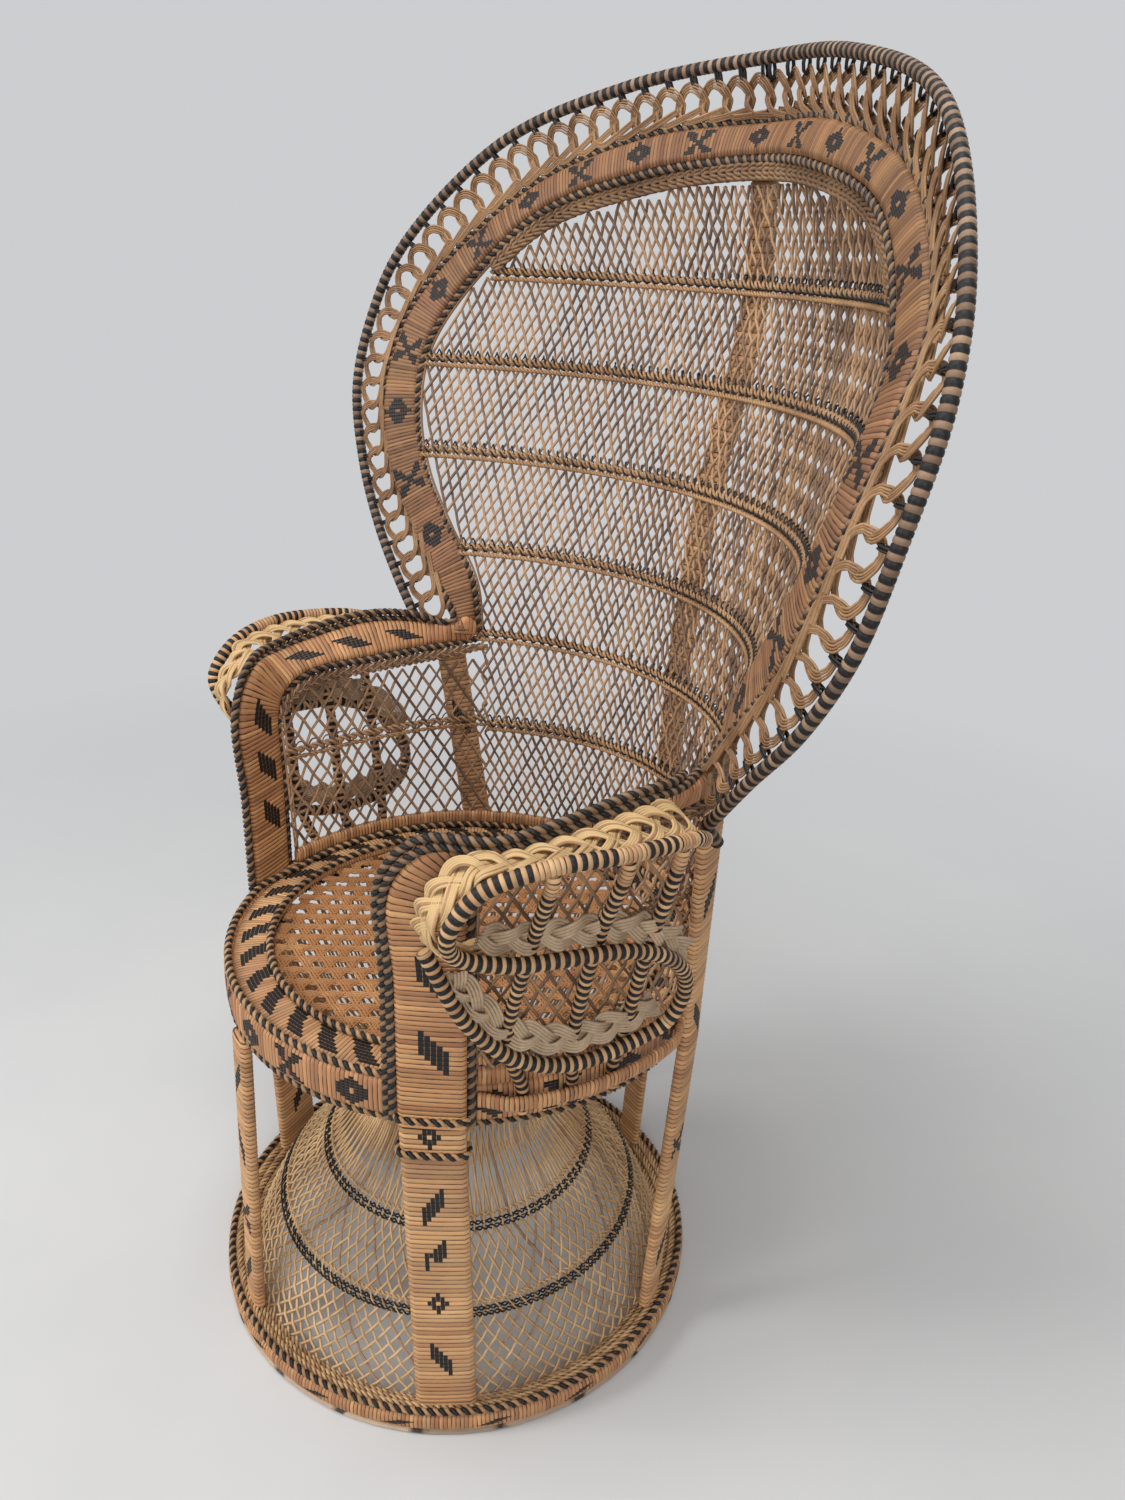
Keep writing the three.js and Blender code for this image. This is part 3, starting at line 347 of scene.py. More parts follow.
@dataclass(frozen=True)
class WoundCane(Finish):
    """Flat cane wound in turns that lie side by side, with black cane where the ink is.

    Each turn has a tone and a shade of its own, and patches blush. Painted shade darkens the
    grooves between the turns, and they waver a little. With slivers, natural cane shows between
    the strips of a figure.
    """

    tones: tuple[Colour, ...]
    ink: Colour = (0.01, 0.009, 0.009)
    blush: Colour = (0.33, 0.135, 0.075)
    # painted shade: the dark colour laid in the grooves between the turns
    groove_shade: Colour = (0.022, 0.011, 0.006)
    blush_share: float = 0.35
    blush_start: float = 0.42
    blush_slope: float = 4.0
    patch_scale: float = 9.0
    waver_scale: float = 70.0
    waver: float = 0.16
    fibres: tuple[float, float] = (9.0, 2.0)
    second_seed: float = 0.37
    shade_low: float = 0.6
    fibre_shade: float = 0.42
    turn_shade: float = 0.38
    strip_half: float = 0.475
    groove_shade_start: tuple[float, float] = (0.26, 0.25)
    groove_shade_slope: float = 10.0
    groove_shade_depth: float = 0.92
    relief: float = 0.0006
    relief_strength: float = 0.5
    roughness: float = 0.48
    roughness_spread: float = 0.25
    slivers: bool = True

    def dress(self, n: Nodes) -> None:
        """Joins the finish's nodes.

        Args:
            n: the material's nodes.
        """
        along, across = n.along_and_across()
        places = n.objects()
        waver = n.noise(places, self.waver_scale, 1.0)
        along = n.sum("MULTIPLY_ADD", n.sum("SUBTRACT", waver, 0.5), self.waver, along)
        turn = n.sum("FLOOR", along)
        count = len(self.tones)
        stops = [(i / (count - 1), tone) for i, tone in enumerate(self.tones)]
        tone = n.ramp(n.chance(turn), stops)
        patch = n.noise(places, self.patch_scale, 3.0)
        patch = n.sum("SUBTRACT", patch, self.blush_start)
        blush = n.sum("MULTIPLY", patch, self.blush_share * self.blush_slope)
        blush = n.sum("MINIMUM", n.sum("MAXIMUM", blush, 0.0), self.blush_share)
        tone = n.mix(blush, tone, self.blush)
        fine, coarse = self.fibres
        fibre_place = n.place(
            n.sum("MULTIPLY", along, fine), n.sum("MULTIPLY", across, coarse), turn
        )
        fibre = n.noise(fibre_place, 1.0, 4.0)
        second = n.chance(n.sum("ADD", turn, self.second_seed))
        shade = n.sum("MULTIPLY_ADD", fibre, self.fibre_shade, self.shade_low)
        shade = n.sum("MULTIPLY_ADD", second, self.turn_shade, shade)
        tone = n.mix(1.0, tone, n.place(shade, shade, shade), "MULTIPLY")
        ink = n.attribute("ink")
        if self.slivers:
            side = n.sum("ABSOLUTE", n.sum("SUBTRACT", n.sum("FRACT", across), 0.5))
            ink = n.sum("MULTIPLY", ink, n.sum("LESS_THAN", side, self.strip_half))
        tone = n.mix(ink, tone, self.ink)
        # painted shade: the colour darkens towards each turn's edges, in the grooves between the
        # turns
        share = n.sum("FRACT", along)
        edge = n.sum("ABSOLUTE", n.sum("SUBTRACT", share, 0.5))
        start = n.sum("MULTIPLY_ADD", waver, *self.groove_shade_start)
        beyond = n.sum("MAXIMUM", n.sum("SUBTRACT", edge, start), 0.0)
        groove_shade = n.sum("MULTIPLY", beyond, self.groove_shade_slope)
        colour = n.mix(n.sum("MINIMUM", groove_shade, self.groove_shade_depth), tone, self.groove_shade)
        n.bump(fibre, self.relief, self.relief_strength)
        rough = n.sum("MULTIPLY_ADD", fibre, self.roughness_spread, self.roughness - 0.1)
        n.finish(colour, rough)


@dataclass(frozen=True)
class RoundCane(Finish):
    """Thin round cane, with its tone drifting along it and fine streaks."""

    light: Colour
    dark: Colour
    roughness: float = 0.5
    roughness_spread: float = 0.2
    drift_scale: float = 14.0
    drift_span: tuple[float, float] = (0.34, 0.62)
    streak_scale: float = 220.0
    streak_shade: tuple[float, float] = (0.5, 0.75)
    relief: float = 0.0004
    relief_strength: float = 0.35

    def dress(self, n: Nodes) -> None:
        """Joins the finish's nodes.

        Args:
            n: the material's nodes.
        """
        places = n.objects()
        drift = n.noise(places, self.drift_scale, 3.0)
        streak = n.noise(places, self.streak_scale, 2.0)
        tone = n.ramp(drift, tuple(zip(self.drift_span, (self.dark, self.light))))
        shade = n.sum("MULTIPLY_ADD", streak, *self.streak_shade)
        colour = n.mix(1.0, tone, n.place(shade, shade, shade), "MULTIPLY")
        n.bump(streak, self.relief, self.relief_strength)
        rough = n.sum("MULTIPLY_ADD", drift, self.roughness_spread, self.roughness - 0.1)
        n.finish(colour, rough)


@dataclass(frozen=True)
class FloorFinish(Finish):
    """A pale matt floor that fades out away from the chair."""

    tones: tuple = ((0.3, (0.64, 0.64, 0.64)), (0.7, (0.67, 0.67, 0.66)))
    roughness: float = 0.8
    fade_start: float = 0.75
    fade_width: float = 1.5

    def dress(self, n: Nodes) -> None:
        """Joins the finish's nodes.

        Args:
            n: the material's nodes.
        """
        places = n.objects()
        n.finish(n.ramp(n.noise(places, 3.0, 3.0), self.tones), self.roughness)
        distance = n.add("ShaderNodeVectorMath", {0: places}, operation="LENGTH")
        fade = n.sum("SUBTRACT", distance.outputs["Value"], self.fade_start)
        fade = n.sum("DIVIDE", fade, self.fade_width)
        fade = n.sum("MINIMUM", n.sum("MAXIMUM", fade, 0.0), 1.0)
        n.join(n.sum("SUBTRACT", 1.0, fade), n.shader.inputs["Alpha"])


TAN = (0.47, 0.235, 0.11)
HONEY = (0.57, 0.29, 0.125)
STRAW = (0.68, 0.4, 0.185)
RUSSET = (0.38, 0.17, 0.08)
WRAP = WoundCane("wound_cane", (RUSSET, TAN, HONEY, HONEY, STRAW))
# a darker copy of the wound cane for the back's band: painted shade
SHADED_BACK_WRAP = WoundCane(
    "back_cane", ((0.17, 0.08, 0.038), (0.26, 0.13, 0.06), (0.31, 0.16, 0.068)), blush_share=0.25
)
POST_WRAP = WoundCane("post_cane", (TAN, STRAW, (0.56, 0.33, 0.165), STRAW, HONEY), blush_share=0.5)
POLE_WRAP = WoundCane(
    "pole_cane", ((0.5, 0.28, 0.135), (0.66, 0.42, 0.22), (0.6, 0.35, 0.17)), slivers=False
)
HOOP_WRAP = WoundCane(
    "hoop_cane", ((0.16, 0.1, 0.063), (0.24, 0.155, 0.1), (0.33, 0.22, 0.14)), blush_share=0.1,
    slivers=False,
)
STRIP = WoundCane("strip_cane", ((0.5, 0.38, 0.27), (0.56, 0.43, 0.31)), blush_share=0.0)
# lit and shaded copies of the lattice cane; the darker one is painted shade
LATTICE_LIGHT = RoundCane("lattice_light", (0.48, 0.295, 0.165), (0.31, 0.175, 0.093))
LATTICE_SHADED = RoundCane("lattice_painted_shade", (0.25, 0.15, 0.095), (0.15, 0.09, 0.057))
BLACK = RoundCane("black_cane", (0.018, 0.016, 0.015), (0.008, 0.007, 0.007))
NATURAL = RoundCane("natural_cane", (0.46, 0.27, 0.135), (0.29, 0.155, 0.075))
DIM = RoundCane("dim_cane", (0.27, 0.165, 0.09), (0.15, 0.085, 0.05))
BORDER = RoundCane("border_cane", (0.3, 0.17, 0.085), (0.17, 0.09, 0.045))
RING = RoundCane("ring_cane", (0.33, 0.185, 0.09), (0.2, 0.1, 0.05))
RING_PALE = RoundCane("ring_pale_cane", (0.42, 0.25, 0.125), (0.26, 0.14, 0.07))
PALE = RoundCane("pale_cane", (0.92, 0.67, 0.37), (0.78, 0.52, 0.25))
GREYED = RoundCane("greyed_cane", (0.6, 0.45, 0.3), (0.4, 0.28, 0.18))
SEAT = RoundCane("seat_cane", (0.42, 0.2, 0.075), (0.26, 0.105, 0.04))
SKIRT = RoundCane("skirt_cane", (0.7, 0.47, 0.25), (0.5, 0.31, 0.15))
HONEY_CANE = RoundCane("honey_cane", (0.48, 0.245, 0.1), (0.32, 0.14, 0.055))


# Pieces


def stand(name: str, data: bpy.types.ID) -> bpy.types.Object:
    """Puts an object into the scene.

    Args:
        name: its name.
        data: its mesh, curve, lamp or camera.

    Returns:
        The object.
    """
    made = bpy.data.objects.new(name, data)
    bpy.context.scene.collection.objects.link(made)
    return made


class Workshop:
    """Finishes pieces: moves them to the part's frame and fixes them to the chair."""

    def __init__(self) -> None:
        """Finds how far the base ring's axis is from the part's origin."""
        low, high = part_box("base_band")
        self.shift = Matrix.Translation((0, (low.y + high.y) / 2, 0))

    def fix(self, mesh: bpy.types.Mesh, name: str, slot: Slot, nodes: Sequence[str]) -> None:
        """Makes a piece of a mesh, in place of the CAD nodes that it stands for.

        Args:
            mesh: the mesh, in the base ring's frame.
            name: the piece's name.
            slot: where the record keeps its finish; not used.
            nodes: the CAD nodes that it replaces.
        """
        mesh.transform(self.shift)
        piece = stand(name, mesh)
        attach(piece, BODY)
        if nodes:
            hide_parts(*nodes)
        LOG.info("%s: %d faces", name, len(mesh.polygons))


class Canes:
    """Round canes gathered into one piece."""

    def __init__(self, name: str, finishes: Sequence[RoundCane], roundness: int = 0) -> None:
        """Starts a piece without canes.

        Args:
            name: the piece's name.
            finishes: the finishes that its canes choose from.
            roundness: 0 for four sides to a cane, 1 for six.
        """
        self.name = name
        self.curve = bpy.data.curves.new(name, "CURVE")
        self.curve.dimensions = "3D"
        self.curve.bevel_depth = 1.0
        self.curve.bevel_resolution = roundness
        self.curve.use_fill_caps = True
        for finish in finishes:
            self.curve.materials.append(finish.material())

    def lay(self, points: Line, radius: float, finish: int = 0, closed: bool = False) -> None:
        """Lays one cane.

        Args:
            points: the places that it runs through.
            radius: its radius.
            finish: which of the piece's finishes it has.
            closed: whether it is a ring.
        """
        if len(points) < 2:
            return
        spline = self.curve.splines.new("POLY")
        spline.points.add(len(points) - 1)
        spline.points.foreach_set("co", np.column_stack([points, np.ones(len(points))]).ravel())
        spline.points.foreach_set("radius", np.full(len(points), radius))
        spline.material_index = finish
        spline.use_cyclic_u = closed

    def finish(self, shop: Workshop, slot: Slot, *nodes: str) -> None:
        """Makes the canes a mesh and fixes it to the chair.

        Args:
            shop: finishes the piece.
            slot: where the record keeps its finish.
            nodes: the CAD nodes that it replaces.
        """
        shell = stand(self.name + "_line", self.curve)
        graph = bpy.context.evaluated_depsgraph_get()
        mesh = bpy.data.meshes.new_from_object(shell.evaluated_get(graph))
        mesh.name = self.name
        bpy.data.objects.remove(shell)
        mesh.shade_smooth()
        shop.fix(mesh, self.name, slot, nodes)


def frames(points: Line, outward: Array, closed: bool = False) -> tuple[Line, Line]:
    """Two directions at each point of a line, square to it and to each other.

    Args:
        points: the line.
        outward: roughly the outward direction at each.
        closed: whether the line is a ring.

    Returns:
        The sideways direction and the outward one.
    """
    along = directions(points, closed)
    side = unit(np.cross(along, outward))
    return side, np.cross(side, along)


@dataclass(frozen=True)
class Rope:
    """Strands twisted round each other, in two finishes by turns."""

    pitch: float = 0.0125
    strand: float = 0.0023
    offset: float = 0.0021
    strands: int = 2
    steps: int = 8

    def lay(self, canes: Canes, line: Line, outward: Sequence | Array,
            colours: Sequence[int], closed: bool = False) -> None:
        """Lays the rope along a line.

        Args:
            canes: the piece that it joins.
            line: its middle.
            outward: a direction for each point, or one for all.
            colours: the finish of each strand.
            closed: whether the line is a ring.
        """
        path = closed_up(line, closed)
        own = lengths_along(path)
        turns = max(round(own[-1] / self.pitch), 1)
        count = turns * self.steps
        where = np.linspace(0, own[-1], count + 1)
        if closed:
            where = where[:-1]
        places = at_lengths(path, where)
        guide = at_lengths(closed_up(np.broadcast_to(outward, line.shape), closed), where, own)
        side, out = frames(places, guide, closed)
        for k in range(self.strands):
            angle = FULL_TURN * (where * turns / own[-1] + k / self.strands)
            reach = self.offset * (np.cos(angle)[:, None] * out + np.sin(angle)[:, None] * side)
            canes.lay(places + reach, self.strand, colours[k % len(colours)], closed)


@dataclass(frozen=True)
class Plait:
    """A flat plait of a few bundles of thin canes."""

    width: float = 0.015
    depth: float = 0.0035
    pitch: float = 0.036
    plies: int = 3
    ply: float = 0.0013
    bundles: int = 3
    steps: int = 10

    def lay(self, canes: Canes, line: Line, facing: Array, finishes: Sequence[int],
            shares: float | Array = 1.0) -> None:
        """Lays the plait along a line.

        Args:
            canes: the piece that it joins.
            line: its middle.
            facing: the way its face looks, for each point or for all.
            finishes: the finishes of its plies.
            shares: the share of its swing at each point of the line, or for all.
        """
        own = lengths_along(line)
        turns = max(own[-1] / self.pitch, 1)
        where = np.linspace(0, own[-1], int(turns * self.steps) + 1)
        places = at_lengths(line, where)
        guide = at_lengths(np.array(np.broadcast_to(facing, line.shape)), where, own)
        side, out = frames(places, guide)
        half = self.width / 2 - self.plies * self.ply
        half = half * np.interp(where, own, np.broadcast_to(shares, len(line)))
        for k in range(self.bundles):
            angle = FULL_TURN * (where / own[-1] * turns + k / self.bundles)
            swing, lift = half * np.sin(angle), self.depth / 2 * np.sin(2 * angle)
            for ply in range(self.plies):
                aside = swing + (2 * ply - self.plies + 1) * self.ply
                strand = places + aside[:, None] * side + lift[:, None] * out
                canes.lay(strand, self.ply, finishes[(k + ply) % len(finishes)])


class Winding:
    """A solid wound with cane: a grid bent round a line of sections."""

    PHASES = ((0.0, 0.0), (0.17, 0.8), (0.5, 1.0), (0.83, 0.8))
    MERGE = 1e-6

    def __init__(self, length: float, pitch: float, relief: float) -> None:
        """Works out where the turns lie.

        Args:
            length: the length of the wound line.
            pitch: how wide one turn is.
            relief: how far a turn's middle stands above its edges.
        """
        self.turns = max(round(length / pitch), 1)
        phase = np.array([p for p, _ in self.PHASES])
        rise = np.array([r for _, r in self.PHASES])
        self.marks = np.append((np.arange(self.turns)[:, None] + phase).ravel(), self.turns)
        self.rise = np.append(np.tile(rise, self.turns), 0.0) * relief
        self.lengths = self.marks * length / self.turns

    def mesh(self, name: str, sections: Array, closed: bool, ink: Callable) -> bpy.types.Mesh:
        """Bends a grid to the sections.

        Args:
            name: the mesh's name.
            sections: points by station and place round the section.
            closed: whether the line is a ring; if not, the two ends are drawn to a point.
            ink: tells from turn numbers and places round the section where the black cane is.

        Returns:
            The mesh, closed all round.
        """
        marks = self.marks
        if not closed:
            first, last = sections[:1].mean(axis=1), sections[-1:].mean(axis=1)
            sides = sections.shape[1]
            sections = np.vstack(
                [np.repeat(first[None], sides, 1), sections, np.repeat(last[None], sides, 1)]
            )
            marks = np.concatenate([marks[:1] + 0.5, marks, marks[-1:] - 0.5])
        stations, sides = sections.shape[:2]
        table = np.concatenate([sections, sections[:, :1]], axis=1)
        shape = bmesh.new()
        shape.loops.layers.uv.new("UVMap")
        bmesh.ops.create_grid(
            shape, x_segments=stations - 1, y_segments=sides, size=0.5, calc_uvs=True
        )
        mesh = bpy.data.meshes.new(name)
        shape.to_mesh(mesh)
        shape.free()
        flat = np.empty(len(mesh.vertices) * 3)
        mesh.vertices.foreach_get("co", flat)
        flat = flat.reshape(-1, 3)
        column = np.rint((flat[:, 0] + 0.5) * (stations - 1)).astype(int)
        row = np.rint((flat[:, 1] + 0.5) * sides).astype(int)
        mesh.vertices.foreach_set("co", table[column, row].ravel())
        corner = np.empty(len(mesh.loops), dtype=np.int32)
        mesh.loops.foreach_get("vertex_index", corner)
        uv = np.column_stack([marks[column[corner]], row[corner]])
        mesh.uv_layers["UVMap"].data.foreach_set("uv", uv.ravel().astype(np.float32))
        middles = uv.reshape(-1, 4, 2).mean(axis=1)
        layer = mesh.attributes.new("ink", "FLOAT", "FACE")
        layer.data.foreach_set("value", ink(middles[:, 0], middles[:, 1]).astype(np.float32))
        shape = bmesh.new()
        shape.from_mesh(mesh)
        bmesh.ops.remove_doubles(shape, verts=shape.verts[:], dist=self.MERGE)
        bmesh.ops.recalc_face_normals(shape, faces=shape.faces[:])
        shape.to_mesh(mesh)
        shape.free()
        mesh.shade_smooth()
        return mesh


def plain(turns: Array, places: Array) -> Array:
    """No black cane anywhere."""
    return np.zeros(len(turns))


# The chair's lines, shared by its sub-assemblies


@dataclass
class ChairLines:
    """Driving sizes of the chair, and the lines that its pieces share.

    Shares give a place by parts of three sizes: sideways, depth and height. Those of the back
    count from the chair's middle and the joints' height, those of the arms from beside the seat
    and the floor.
    """

    hoop_top: float = 1.379
    hoop_half_width: float = 0.483
    crown_depth: float = 0.352
    arm_height: float = 0.748
    seat_height: float = 0.462
    seat_radius: float = 0.277
    seat_set_back: float = 0.012
    base_radius: float = 0.295
    wall_radius: float = 0.268
    apron_low: float = 0.421
    post_width: float = 0.062
    band_thickness: float = 0.012
    band_inset: float = 0.0068
    leg_circle: float = 0.274
    foot_height: float = 0.0276
    post_turn: float = FULL_TURN * 0.1545
    joint_turn: float = FULL_TURN * 0.339
    joint_reach: float = 0.014
    post_stand_off: float = 0.0063
    arm_drop: float = 0.03
    arm_depth: float = 0.038
    arm_lean: float = 0.008
    arm_rise: float = 0.005
    corner_shares: tuple = (0.35, 0.25)
    first_row_share: float = 0.5303
    rail_half: float = 0.009
    steps: int = 320
    inner_shares: tuple = (
        (0.54, 0.435, 0.08), (0.625, 0.39, 0.18), (0.71, 0.36, 0.28), (0.77, 0.365, 0.39),
        (0.795, 0.415, 0.505), (0.765, 0.515, 0.61), (0.58, 0.69, 0.765), (0.3, 0.84, 0.835),
        (0, 0.95, 0.857),
    )
    outer_shares: tuple = (
        (0.64, 0.33, 0.105), (0.745, 0.305, 0.205), (0.825, 0.285, 0.315), (0.875, 0.305, 0.435),
        (0.885, 0.385, 0.555), (0.845, 0.5, 0.66), (0.625, 0.715, 0.82), (0.31, 0.88, 0.9),
        (0, 1, 0.915),
    )
    hoop_shares: tuple = (
        (0.75, 0.26, 0.065), (0.865, 0.25, 0.17), (0.955, 0.25, 0.295), (1, 0.265, 0.435),
        (1, 0.335, 0.575), (0.94, 0.425, 0.705), (0.705, 0.645, 0.89), (0.36, 0.84, 0.975),
        (0, 0.965, 1),
    )
    inner_foot: tuple = ((-0.102, 0.455, 0.9663),)
    outer_foot: tuple = ((-0.1137, 0.365, 1.0),)
    hoop_foot: tuple = ((0.0879, 0.35, 0.9224), (0.102, 0.295, 0.9536))
    arm_outer_shares: tuple = ((0.027, -0.3, 0.985), (0.0926, 0.04, 1.01), (0.027, 0.235, 1.005))
    arm_inner_shares: tuple = (
        (-0.109, -0.21, 0.953), (-0.0762, 0.04, 0.957), (-0.0668, 0.26, 0.96),
    )
    row_rises: tuple = (-0.0272, 0.1477, 0.3291, 0.5017, 0.6678)
    row_depths: tuple = (0.787, 0.795, 0.818, 0.861, 0.932, 0.98)

    def beside_seat(self, shares: Sequence) -> Line:
        """Places by shares of the hoop's overhang, the crown's depth and the arm's height."""
        scale = (self.hoop_half_width - self.seat_radius, self.crown_depth, self.arm_height)
        return np.array(shares) * scale + [self.seat_radius, 0, 0]

    def outline(self, feet: Sequence, shares: Sequence) -> Line:
        """Half an outline of the back.

        Args:
            feet: the shares of its first places, beside the seat.
            shares: the shares of the rest, up to the crown.

        Returns:
            The places, from its foot.
        """
        scale = (self.hoop_half_width, self.crown_depth, self.hoop_top - self.arm_height)
        upper = np.array(shares) * scale + [0, 0, self.arm_height]
        return np.vstack([self.beside_seat(feet), upper])

    def seat_place(self, radius: Amount, turn: Amount, height: Amount) -> Array:
        """Places round the seat's centre; the turn is from the front towards +X."""
        radius, turn, height = np.broadcast_arrays(radius, turn, height)
        return np.stack(
            [radius * np.sin(turn), self.seat_set_back - radius * np.cos(turn), height], axis=-1
        ).astype(float)

    def base_place(self, radius: Amount, turn: Amount, height: Amount) -> Array:
        """Places round the base ring's centre, as seat_place gives them round the seat's."""
        return self.seat_place(radius, turn, height) - np.array([0, self.seat_set_back, 0])

    def post_edge(self, side: int, height: float, lean: float = 0.0) -> Array:
        """A place on the line of a post's edge braid.

        Args:
            side: 1 for the edge towards the back, -1 for the one towards the front.
            height: how high above the floor.
            lean: how far it leans outwards there.

        Returns:
            The place.
        """
        circle = self.seat_radius + SEAM + self.band_thickness / 2 + lean
        along = np.array([math.cos(self.post_turn), math.sin(self.post_turn), 0])
        reach = self.post_width / 2 + self.band_inset
        return self.seat_place(circle, self.post_turn, height) + along * side * reach

    def arm_lines(self) -> tuple[Line, Line]:
        """Works out the braid lines of the right arm, from the apron to the joint.

        Returns:
            The outer line and the inner one.
        """
        low = self.apron_low + SEAM
        middle = (low + self.arm_height) / 2
        drop, depth, lean = self.arm_drop, self.arm_depth, self.arm_lean
        rise = np.array([0, 0, self.arm_rise])
        outer_corner = self.post_edge(-1, self.arm_height - drop, lean)
        inner_corner = self.post_edge(1, self.arm_height - depth - drop)
        outer_arm = self.beside_seat(self.arm_outer_shares)
        inner_arm = self.beside_seat(self.arm_inner_shares)
        outer = [
            self.post_edge(-1, low),
            self.post_edge(-1, middle),
            self.post_edge(-1, outer_corner[2] - drop, lean / 2),
            outer_corner + (outer_arm[0] - outer_corner) * self.corner_shares[0] + rise,
            *outer_arm,
            self.outline(self.outer_foot, self.outer_shares)[0],
        ]
        inner = [
            self.post_edge(1, low),
            self.post_edge(1, middle),
            self.post_edge(1, inner_corner[2] - drop / 2),
            inner_corner + (inner_arm[0] - inner_corner) * self.corner_shares[1] + rise,
            *inner_arm,
            self.outline(self.inner_foot, self.inner_shares)[0],
        ]
        steps = self.steps * 3 // 8
        return smooth_line(outer, steps), smooth_line(inner, steps)

    def __post_init__(self) -> None:
        """Works out the shared lines once."""
        self.arm_outer, self.arm_inner = self.arm_lines()
        self.back_outer = smooth_line(
            whole_outline(self.outline(self.outer_foot, self.outer_shares)), self.steps
        )
        self.back_inner = smooth_line(
            whole_outline(self.outline(self.inner_foot, self.inner_shares)), self.steps
        )
        outer = np.vstack(
            [mirrored(self.arm_outer)[:-1], self.back_outer, self.arm_outer[:-1][::-1]]
        )
        foot = len(self.arm_outer) - 1
        for corner in (foot, len(outer) - 1 - foot):
            outer = softened(outer, corner, self.joint_reach)
        self.back_outer = outer[foot : len(outer) - foot]
        self.arm_outer = outer[len(outer) - foot - 1 :][::-1]
        hoop_half = self.outline(self.hoop_foot, self.hoop_shares)
        self.hoop = smooth_line(whole_outline(hoop_half[1:]), self.steps)
        self.hoop_end = hoop_half[0]
        first = self.seat_height + self.first_row_share * (self.arm_height - self.seat_height)
        rise = self.hoop_top - self.arm_height
        self.rows = np.array([first, *(self.arm_height + s * rise for s in self.row_rises)])
        crown = self.back_inner[self.steps // 2]
        self.crown = crown
        self.foot_rail_low = self.seat_height + SEAM
        centre = [
            (self.foot_rail_low, self.seat_set_back + self.wall_radius),
            *zip(self.rows, np.array(self.row_depths) * self.crown_depth),
            (crown[2], crown[1]),
        ]
        self.centre_line = smooth_line(centre, 80)
        right = self.back_inner[self.steps // 2 :][::-1]
        feet = self.seat_place(
            self.wall_radius, self.joint_turn, np.array([self.foot_rail_low, self.rows[0]])
        )
        self.edge_line = np.vstack([feet, right])

    def wall_arc(self, z: Array) -> tuple[Array, Array, Array]:
        """The level arc of the back's wall at heights.

        Args:
            z: the heights.

        Returns:
            The arc's radius, its centre's y and half its length.
        """
        middle = np.interp(z, self.centre_line[:, 0], self.centre_line[:, 1])
        x = np.interp(z, self.edge_line[:, 2], self.edge_line[:, 0])
        sagitta = middle - np.interp(z, self.edge_line[:, 2], self.edge_line[:, 1])
        radius = (x * x + sagitta * sagitta) / (2 * sagitta)
        return radius, middle - radius, radius * np.arctan2(x, radius - sagitta)

    def back_wall(self, s: Array, z: Amount, depth: Amount = 0.0) -> Array:
        """Places on the back's wall.

        Args:
            s: the length along its arc, from the middle.
            z: the height.
            depth: how far behind the wall.

        Returns:
            The places.
        """
        s, z, depth = np.broadcast_arrays(np.asarray(s, float), z, depth)
        radius, centre, _ = self.wall_arc(z)
        turn = s / radius
        reach = radius + depth
        return np.stack([np.sin(turn) * reach, centre + np.cos(turn) * reach, z], axis=-1)

    def inside_edge(self, distance: Callable) -> Line:
        """The right half of a line inside the wall's edge, as lengths and heights.

        Args:
            distance: gives from heights how far inside the edge the line runs.

        Returns:
            The line, from its foot up to the crown's middle.
        """
        edge = self.edge_line[:-1]
        flat = np.column_stack([self.wall_arc(edge[:, 2])[2], edge[:, 2]])
        flat = np.vstack([flat, [0, self.crown[2]]])
        way = np.gradient(flat, axis=0)
        way /= np.linalg.norm(way, axis=1, keepdims=True)
        inset = distance(flat[:, 1])
        line = flat + inset[:, None] * np.column_stack([-way[:, 1], way[:, 0]])
        line[-1] = (0, self.crown[2] - inset[-1])
        keep = line[:, 0] >= 0
        return line[keep]


class Figure(Enum):
    """Black figures woven into the wound bands.

    Each row is one strip across the band, each letter one turn of cane along it.
    """

    CROSS = (
        "...#...", "...#...", "..###..", ".#####.", "#######", "###.###", "###.###", "#######",
        ".#####.", "..###..", "...#...", "...#...",
    )
    STAIR = (
        "###..###", "###..###", ".##.###.", ".##.##..", "..###...", "...##...", "..###...",
        ".##.##..", ".##.###.", "###..##.", "###..###", "##...###",
    )
    SLANT = ("####....", ".####...", "..####..", "...####.", "....####")
    BACKSLANT = SLANT[::-1]
    TALL_SLANT = ("#####....", ".#####...", "..#####..", "...#####.", "....#####")
    TALL_BACKSLANT = TALL_SLANT[::-1]
    WIDE_SLANT = (
        "#####.....", ".#####....", "..####....", "..#####...", "...#####..", "....#####.",
        ".....#####",
    )
    HOOK = ("####...", "...#...", "..###..", "..####.", "...####")
    LOZENGE = ("..#..", ".###.", "##.##", ".###.", "..#..")


Marks = Sequence[tuple[float, Figure]]


@dataclass
class Inlay:
    """Black figures placed along a wound band of a number of strips."""

    cells: int
    figures: Marks

    def __call__(self, turns: Array, places: Array) -> Array:
        """Tells where the black cane lies; the band's back shows the front's figures.

        Args:
            turns: the faces' turn numbers.
            places: their places round the section, the front's strips first.

        Returns:
            1 where a face is black, 0 elsewhere.
        """
        row = np.floor(places).astype(int)
        edge, nowhere = 3, -99
        back = row >= self.cells + edge
        cell = np.where(back, 2 * self.cells + edge - 1 - row, row)
        cell = np.where((cell >= 0) & (cell < self.cells), cell, nowhere)
        turn = np.floor(turns).astype(int)
        dark = np.zeros(len(turns))
        for middle, figure in self.figures:
            chart = figure.value
            first_cell = (self.cells - len(chart)) // 2
            first_turn = round(middle) - len(chart[0]) // 2
            for j, strip in enumerate(chart):
                marks = np.array([letter == "#" for letter in strip])
                here = (cell == first_cell + j) & (turn >= first_turn)
                here &= turn < first_turn + len(marks)
                dark[here] = marks[turn[here] - first_turn]
        return dark


